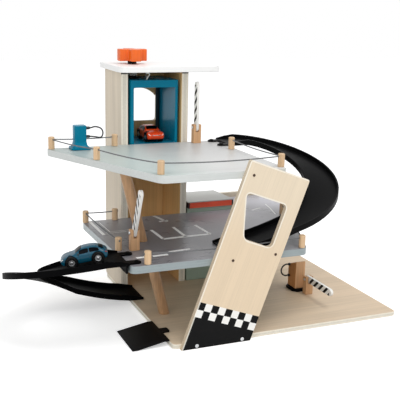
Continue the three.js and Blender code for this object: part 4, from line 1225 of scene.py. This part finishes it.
class CarShell:
    """A toy car's skin: rows count from the nose, parts from the underside's middle up the left side."""

    def __init__(self, colour):
        middles = [sum(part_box(f"{colour}_car_{end}_wheels"), Vector()) / 2 for end in ("front", "rear")]
        ahead = (middles[0] - middles[1]).normalized()
        self.left = Vector((0, 0, 1)).cross(ahead).normalized()
        up = ahead.cross(self.left)
        origin = middles[1] + (ahead * -CAR_AXLES[1] - up * WHEEL_RADIUS) * MM
        self.name = colour + "_car"
        self.colour = colour
        self.place = placing(ahead, self.left, up, origin) @ Matrix.Diagonal((MM, MM, MM, 1))
        rows = [self.section(*row) for row in CAR_ROWS]
        self.net = [rows[0]] * 2 + rows + [rows[-1]] * 2
        self.last = len(rows)
        self.around = len(rows[0])

    def section(self, along, wide, low, waist, narrow, high):
        """The control points of one row, all the way round."""
        tall, glass = waist - low, high - waist
        half = [
            (0, low), (wide * 0.6, low), (wide * 0.99, low), (wide * 1.03, low + tall * 0.35),
            (wide * 1.03, low + tall * 0.85), (wide * 0.98, waist + glass * 0.12),
            ((wide + narrow * 1.2) / 2.2, waist + glass * 0.5), (narrow, high - glass * 0.02),
            (narrow * 0.55, high + 0.4), (0, high + 0.4),
        ]
        x = CAR_LENGTH / 2 - along
        return [Vector((x, y, z)) for y, z in half] + [Vector((x, -y, z)) for y, z in half[-2:0:-1]]

    def point(self, row, part, lift=0.0):
        """A point of the skin in the world, raised off it by some millimetres."""
        here = self.bare(row, part)
        if lift:
            along = self.bare(row + NUDGE, part) - self.bare(row - NUDGE, part)
            around = self.bare(row, part + NUDGE) - self.bare(row, part - NUDGE)
            here = here + along.cross(around).normalized() * lift
        return self.place @ here

    def bare(self, row, part):
        """A point of the skin in the car's own millimetres."""
        u = min(max(row + 1.0, 0.0), self.last + 0.9999)
        v = (part - 1.0) % self.around
        across = spline_weights(v - int(v))
        total = Vector()
        for share, ring in zip(spline_weights(u - int(u)), self.net[int(u):int(u) + 4]):
            for k, part_share in enumerate(across):
                total += ring[(int(v) + k) % self.around] * share * part_share
        return total

    def mirrored(self, part):
        """The same part on the right side."""
        return self.around - part

    def both_sides(self, low, high):
        """A stretch of parts on the left side, and the same on the right."""
        return (low, high), (self.mirrored(high), self.mirrored(low))

    def body_into(self, work):
        """Adds the closed skin."""
        rows = [-1 + (self.last + 2) * i / SKIN_ROWS for i in range(SKIN_ROWS + 1)]
        parts = [self.around * k / SKIN_PARTS for k in range(SKIN_PARTS)]
        rings_into(work, [[self.point(row, part) for part in parts] for row in rows])

    def pane_into(self, work, rows, parts, lift=0.22, steps=10):
        """Adds a pillowed pane over a patch of the skin, its rim sunk into it."""
        def corner(s, t):
            rim = max(abs(s), abs(t)) > 0.99
            across, along = s * math.sqrt(1 - PANE_ROUND * t * t), t * math.sqrt(1 - PANE_ROUND * s * s)
            row = (rows[0] + rows[1]) / 2 + (rows[1] - rows[0]) / 2 * across
            part = (parts[0] + parts[1]) / 2 + (parts[1] - parts[0]) / 2 * along
            return self.point(row, part, PANE_SINK if rim else lift)
        middle = [-0.8 + 1.6 * i / steps for i in range(steps + 1)]
        spread = [-1.0, -0.985, -0.93, *middle, 0.93, 0.985, 1.0]
        grid = [[work.verts.new(corner(s, t)) for t in spread] for s in spread]
        for near, far in zip(grid, grid[1:]):
            for i in range(len(spread) - 1):
                work.faces.new((near[i], near[i + 1], far[i + 1], far[i]))

    def line_into(self, work, stops, radius, steps=8):
        """Adds a thin raised line over stops of the skin."""
        points = []
        for (row_a, part_a), (row_b, part_b) in zip(stops, stops[1:]):
            for k in range(steps):
                share = k / steps
                points.append(self.point(row_a + (row_b - row_a) * share, part_a + (part_b - part_a) * share))
        tube_into(work, points + [self.point(*stops[-1])], radius, 6)


class GARAGE_OT_cars(GarageOperator):
    """Build the two toy cars' bodies, windows, lamps and wheel caps"""

    bl_idname = "garage.cars"
    bl_label = "Toy cars"

    # Windows: rows and parts of the skin of the two screens, and of the panes on both sides
    screens = (((5.45, 7.35), (7.15, 10.85)), ((11.25, 12.45), (7.35, 10.65)))
    side_rows, side_parts = ((6.5, 8.85), (9.0, 11.3)), (5.45, 6.9)
    # Lamps and grille: rows and parts of the skin, and colour
    lenses = (
        ("head", (0.7, 1.9), (5.1, 6.1), "f4f1e6"), ("tail", (13.0, 13.9), (4.7, 5.9), "9a1c14"),
        ("grille", (-0.4, 0.5), (6.4, 9.0), "141416"),
    )
    # Seams and the mirrors' stalks as (row, part) of the skin, with how far the stalks' ends stand off it
    door = ((6.35, 5.6), (6.25, 3.6), (6.5, 2.95), (8.6, 2.95), (8.85, 3.4), (8.9, 5.6))
    crease = ((5.2, 8.2), (3.4, 8.0), (1.7, 7.9))
    door_line, crease_line = 0.16, 0.14
    stalk = ((6.3, 5.55, -0.3), (6.25, 5.6, 1.5))
    # Turned profiles in millimetres
    mirror_profile = ((0.01, 0), (0.45, 0.1), (0.45, 0.9), (1.15, 1.1), (1.3, 1.7), (0.8, 2.3), (0.01, 2.4))
    cap_profile = (
        (0.01, 0.05), (1.2, 0.0), (1.5, -0.35), (2.6, -0.5), (4.3, -0.3), (4.7, -0.2), (4.8, -1.3),
        (0.01, -1.3),
    )
    hole_profile = ((0.01, -0.9), (0.9, -0.9), (0.9, 1.0), (0.01, 1.0))
    holes, hole_place = 5, 3.1

    def execute(self, context):
        for colour in ("orange", "blue"):
            car = CarShell(colour)
            self.body(car)
            self.glass(car)
            self.lamps(car)
            self.lines(car)
            self.wheels(car)
        return {"FINISHED"}

    def body(self, car):
        """The painted shell with its wheel arches."""
        tone = getattr(chosen(), "car_" + car.colour)
        paint = moulded(car.colour + " car", tone, 0.24, 500.0, 0.005, coat=0.15, gloss=0.18)
        piece = add_piece(
            car.name + "_shell", car.body_into, paint, car.name, [car.name + "_body"],
        )
        well = ((0.01, 0), (WELL_RADIUS, 0), (WELL_RADIUS, WELL_CUT), (0.01, WELL_CUT))

        def arches(work):
            for x in CAR_AXLES:
                for side in (-1, 1):
                    inner = car.place @ Vector((x, side * (CAR_TRACK / 2 - WELL_DEPTH), WHEEL_RADIUS))
                    turned_into(work, well, inner, car.left * side, 40)
        carve(piece, arches)
        soften(piece, 0.3, 2, 40.0, weld=False)

    def glass(self, car):
        """Dark windows all round."""
        dark = stored(moulded, "dark glass", linear("010308"), 0.16, 300.0, 0.002, gloss=0.05)

        def build(work):
            for rows, parts in self.screens:
                car.pane_into(work, rows, parts)
            for parts in car.both_sides(*self.side_parts):
                for rows in self.side_rows:
                    car.pane_into(work, rows, parts)
        add_piece(car.name + "_windows", build, dark, car.name)

    def lamps(self, car):
        """Head lamps, tail lamps and the grille."""
        for name, rows, span, shade in self.lenses:
            lens = stored(moulded, name + " lens", linear(shade), 0.16, 300.0, 0.002, coat=0.8)

            def build(work):
                for parts in car.both_sides(*span):
                    car.pane_into(work, rows, parts, 0.18, 6)
            add_piece(f"{car.name}_{name}", build, lens, car.name)

    def lines(self, car):
        """Door seams, the creases of the hood and the two mirrors."""
        seam = stored(moulded, "seam", linear("0d0f11"), 0.5, 900.0, 0.01)

        def build(work):
            for side in (lambda part: part, car.mirrored):
                car.line_into(work, [(row, side(part)) for row, part in self.door], self.door_line)
                car.line_into(work, [(row, side(part)) for row, part in self.crease], self.crease_line)
                root, tip = (car.point(row, side(part), lift) for row, part, lift in self.stalk)
                turned_into(work, self.mirror_profile, root, tip - root, 16)
        add_piece(car.name + "_seams", build, seam, car.name)

    def wheels(self, car):
        """Tyres from the CAD, with a bright cap with five holes on each wheel."""
        rubber = stored(moulded, "tyre rubber", linear("050506"), 0.55, 1500.0, 0.06, gloss=0.2)
        for x, end in zip(CAR_AXLES, ("front", "rear")):
            dress(f"{car.name}_{end}_wheels", rubber, 0.3)
            for side, hand in ((-1, "right"), (1, "left")):
                outward = car.left * side
                hub = car.place @ Vector((x, side * CAR_TRACK / 2, WHEEL_RADIUS))
                cap = add_piece(
                    f"{car.name}_{end}_{hand}_cap",
                    lambda work: turned_into(work, self.cap_profile, hub, outward, 40),
                    bright_steel(), f"{car.colour}_{end}_axle",
                )

                def holes(work):
                    start = outward.orthogonal().normalized() * self.hole_place * MM
                    for k in range(self.holes):
                        turn = Matrix.Rotation(2 * math.pi * k / self.holes, 3, outward)
                        turned_into(work, self.hole_profile, hub + turn @ start, outward, 14)
                carve(cap, holes)


class GARAGE_OT_stage(GarageOperator):
    """Make the floor, the soft lamps and the camera"""

    bl_idname = "garage.stage"
    bl_label = "Stage"

    # The floor's half side in metres and its drop in millimetres, and the strengths of its glow and the world
    floor_reach, floor_drop = 6.0, 0.4
    floor_glow, world_light = 0.45, 0.62
    # Lamps: name, place and size in metres, and power in watts; the height that they aim at in metres
    lamps = (("key", (0.5, -0.9, 2.6), 1.5, 30.0), ("fill", (-1.7, -1.5, 1.2), 1.6, 12.0))
    aim_height = 0.2
    # The photograph's camera: focal length and width in pixels, angles in radians, place in millimetres
    focal_pixels, photo_pixels, sensor_width = 795.54, 400, 36.0
    yaw, pitch, roll = 0.4039, 0.2408, 0.023
    camera_place = (-420.774, -1077.871, 527.241)

    def execute(self, context):
        self.floor()
        for lamp in self.lamps:
            self.lamp(*lamp)
        self.camera()
        self.world()
        bpy.context.scene.view_settings.view_transform = "Standard"
        return {"FINISHED"}

    def floor(self):
        """A plain white floor that keeps the shadow."""
        reach = self.floor_reach
        mesh = bpy.data.meshes.new("floor")
        corners = [(-reach, -reach, 0), (reach, -reach, 0), (reach, reach, 0), (-reach, reach, 0)]
        mesh.from_pydata(corners, [], [(0, 1, 2, 3)])
        finish = Finish("floor")
        plain = finish.shader((0.9, 0.9, 0.9), 0.9)
        strength = finish.shown() * self.floor_glow
        glow = finish.node("ShaderNodeEmission", None, {"Color": (1, 1, 1), "Strength": strength})
        mesh.materials.append(finish.closed(finish.node("ShaderNodeAddShader", None, {0: plain, 1: glow})))
        floor = placed("floor", mesh)
        floor.location.z = -self.floor_drop * MM

    def lamp(self, name, place, size, power):
        """A large soft lamp aimed at the garage."""
        data = bpy.data.lights.new(name, "AREA")
        data.shape = "DISK"
        data.size = size
        data.energy = power
        lamp = placed(name, data)
        lamp.location = place
        lamp.rotation_mode = "QUATERNION"
        lamp.rotation_quaternion = (Vector(place) - Vector((0, 0, self.aim_height))).to_track_quat("Z", "Y")

    def camera(self):
        """The camera at the photograph's angle."""
        data = bpy.data.cameras.new("camera")
        data.sensor_width = self.sensor_width
        data.lens = self.focal_pixels / self.photo_pixels * self.sensor_width
        camera = placed("camera", data)
        bpy.context.scene.camera = camera
        level = Vector((math.sin(self.yaw), math.cos(self.yaw), 0))
        forward = level * math.cos(self.pitch) - Vector((0, 0, math.sin(self.pitch)))
        right = Vector((math.cos(self.yaw), -math.sin(self.yaw), 0))
        up = right.cross(forward)
        side = right * math.cos(self.roll) + up * math.sin(self.roll)
        top = up * math.cos(self.roll) - right * math.sin(self.roll)
        camera.matrix_world = placing(side, top, -forward, spot(*self.camera_place))

    def world(self):
        """Even white light, and plain white where the camera sees past the floor."""
        world = bpy.data.worlds.new("world")
        bpy.context.scene.world = world
        nodes = Nodes(world, "ShaderNodeOutputWorld")
        light, plain = (
            nodes.node("ShaderNodeBackground", None, {"Color": (1, 1, 1), "Strength": strength})
            for strength in (self.world_light, 1.0)
        )
        mixed = nodes.node("ShaderNodeMixShader", None, {0: nodes.shown(), 1: light, 2: plain})
        nodes.feed(nodes.output, mixed)


OPERATORS = (
    GARAGE_OT_stage, GARAGE_OT_boards, GARAGE_OT_decks, GARAGE_OT_front_board, GARAGE_OT_fences,
    GARAGE_OT_ramps, GARAGE_OT_kiosk, GARAGE_OT_barriers, GARAGE_OT_charger, GARAGE_OT_pump,
    GARAGE_OT_lift, GARAGE_OT_cars,
)


class GARAGE_PT_panel(bpy.types.Panel):
    """The garage's pieces in the sidebar."""

    bl_idname = "GARAGE_PT_panel"
    bl_label = "Toy parking garage"
    bl_space_type = "VIEW_3D"
    bl_region_type = "UI"
    bl_category = "Garage"

    def draw(self, context):
        for name in GarageSettings.__annotations__:
            self.layout.prop(context.scene.garage, name)
        for operator in OPERATORS:
            self.layout.operator(operator.bl_idname)


CLASSES = (GarageSettings, *OPERATORS, GARAGE_PT_panel)


def register():
    """Registers the add-on."""
    for item in CLASSES:
        bpy.utils.register_class(item)
    bpy.types.Scene.garage = bpy.props.PointerProperty(type=GarageSettings)


def unregister():
    """Takes the add-on out again."""
    del bpy.types.Scene.garage
    for item in reversed(CLASSES):
        bpy.utils.unregister_class(item)


def main():
    """Builds every piece."""
    register()
    for operator in OPERATORS:
        group, name = operator.bl_idname.split(".")
        getattr(getattr(bpy.ops, group), name)()


if __name__ == "__main__":
    main()
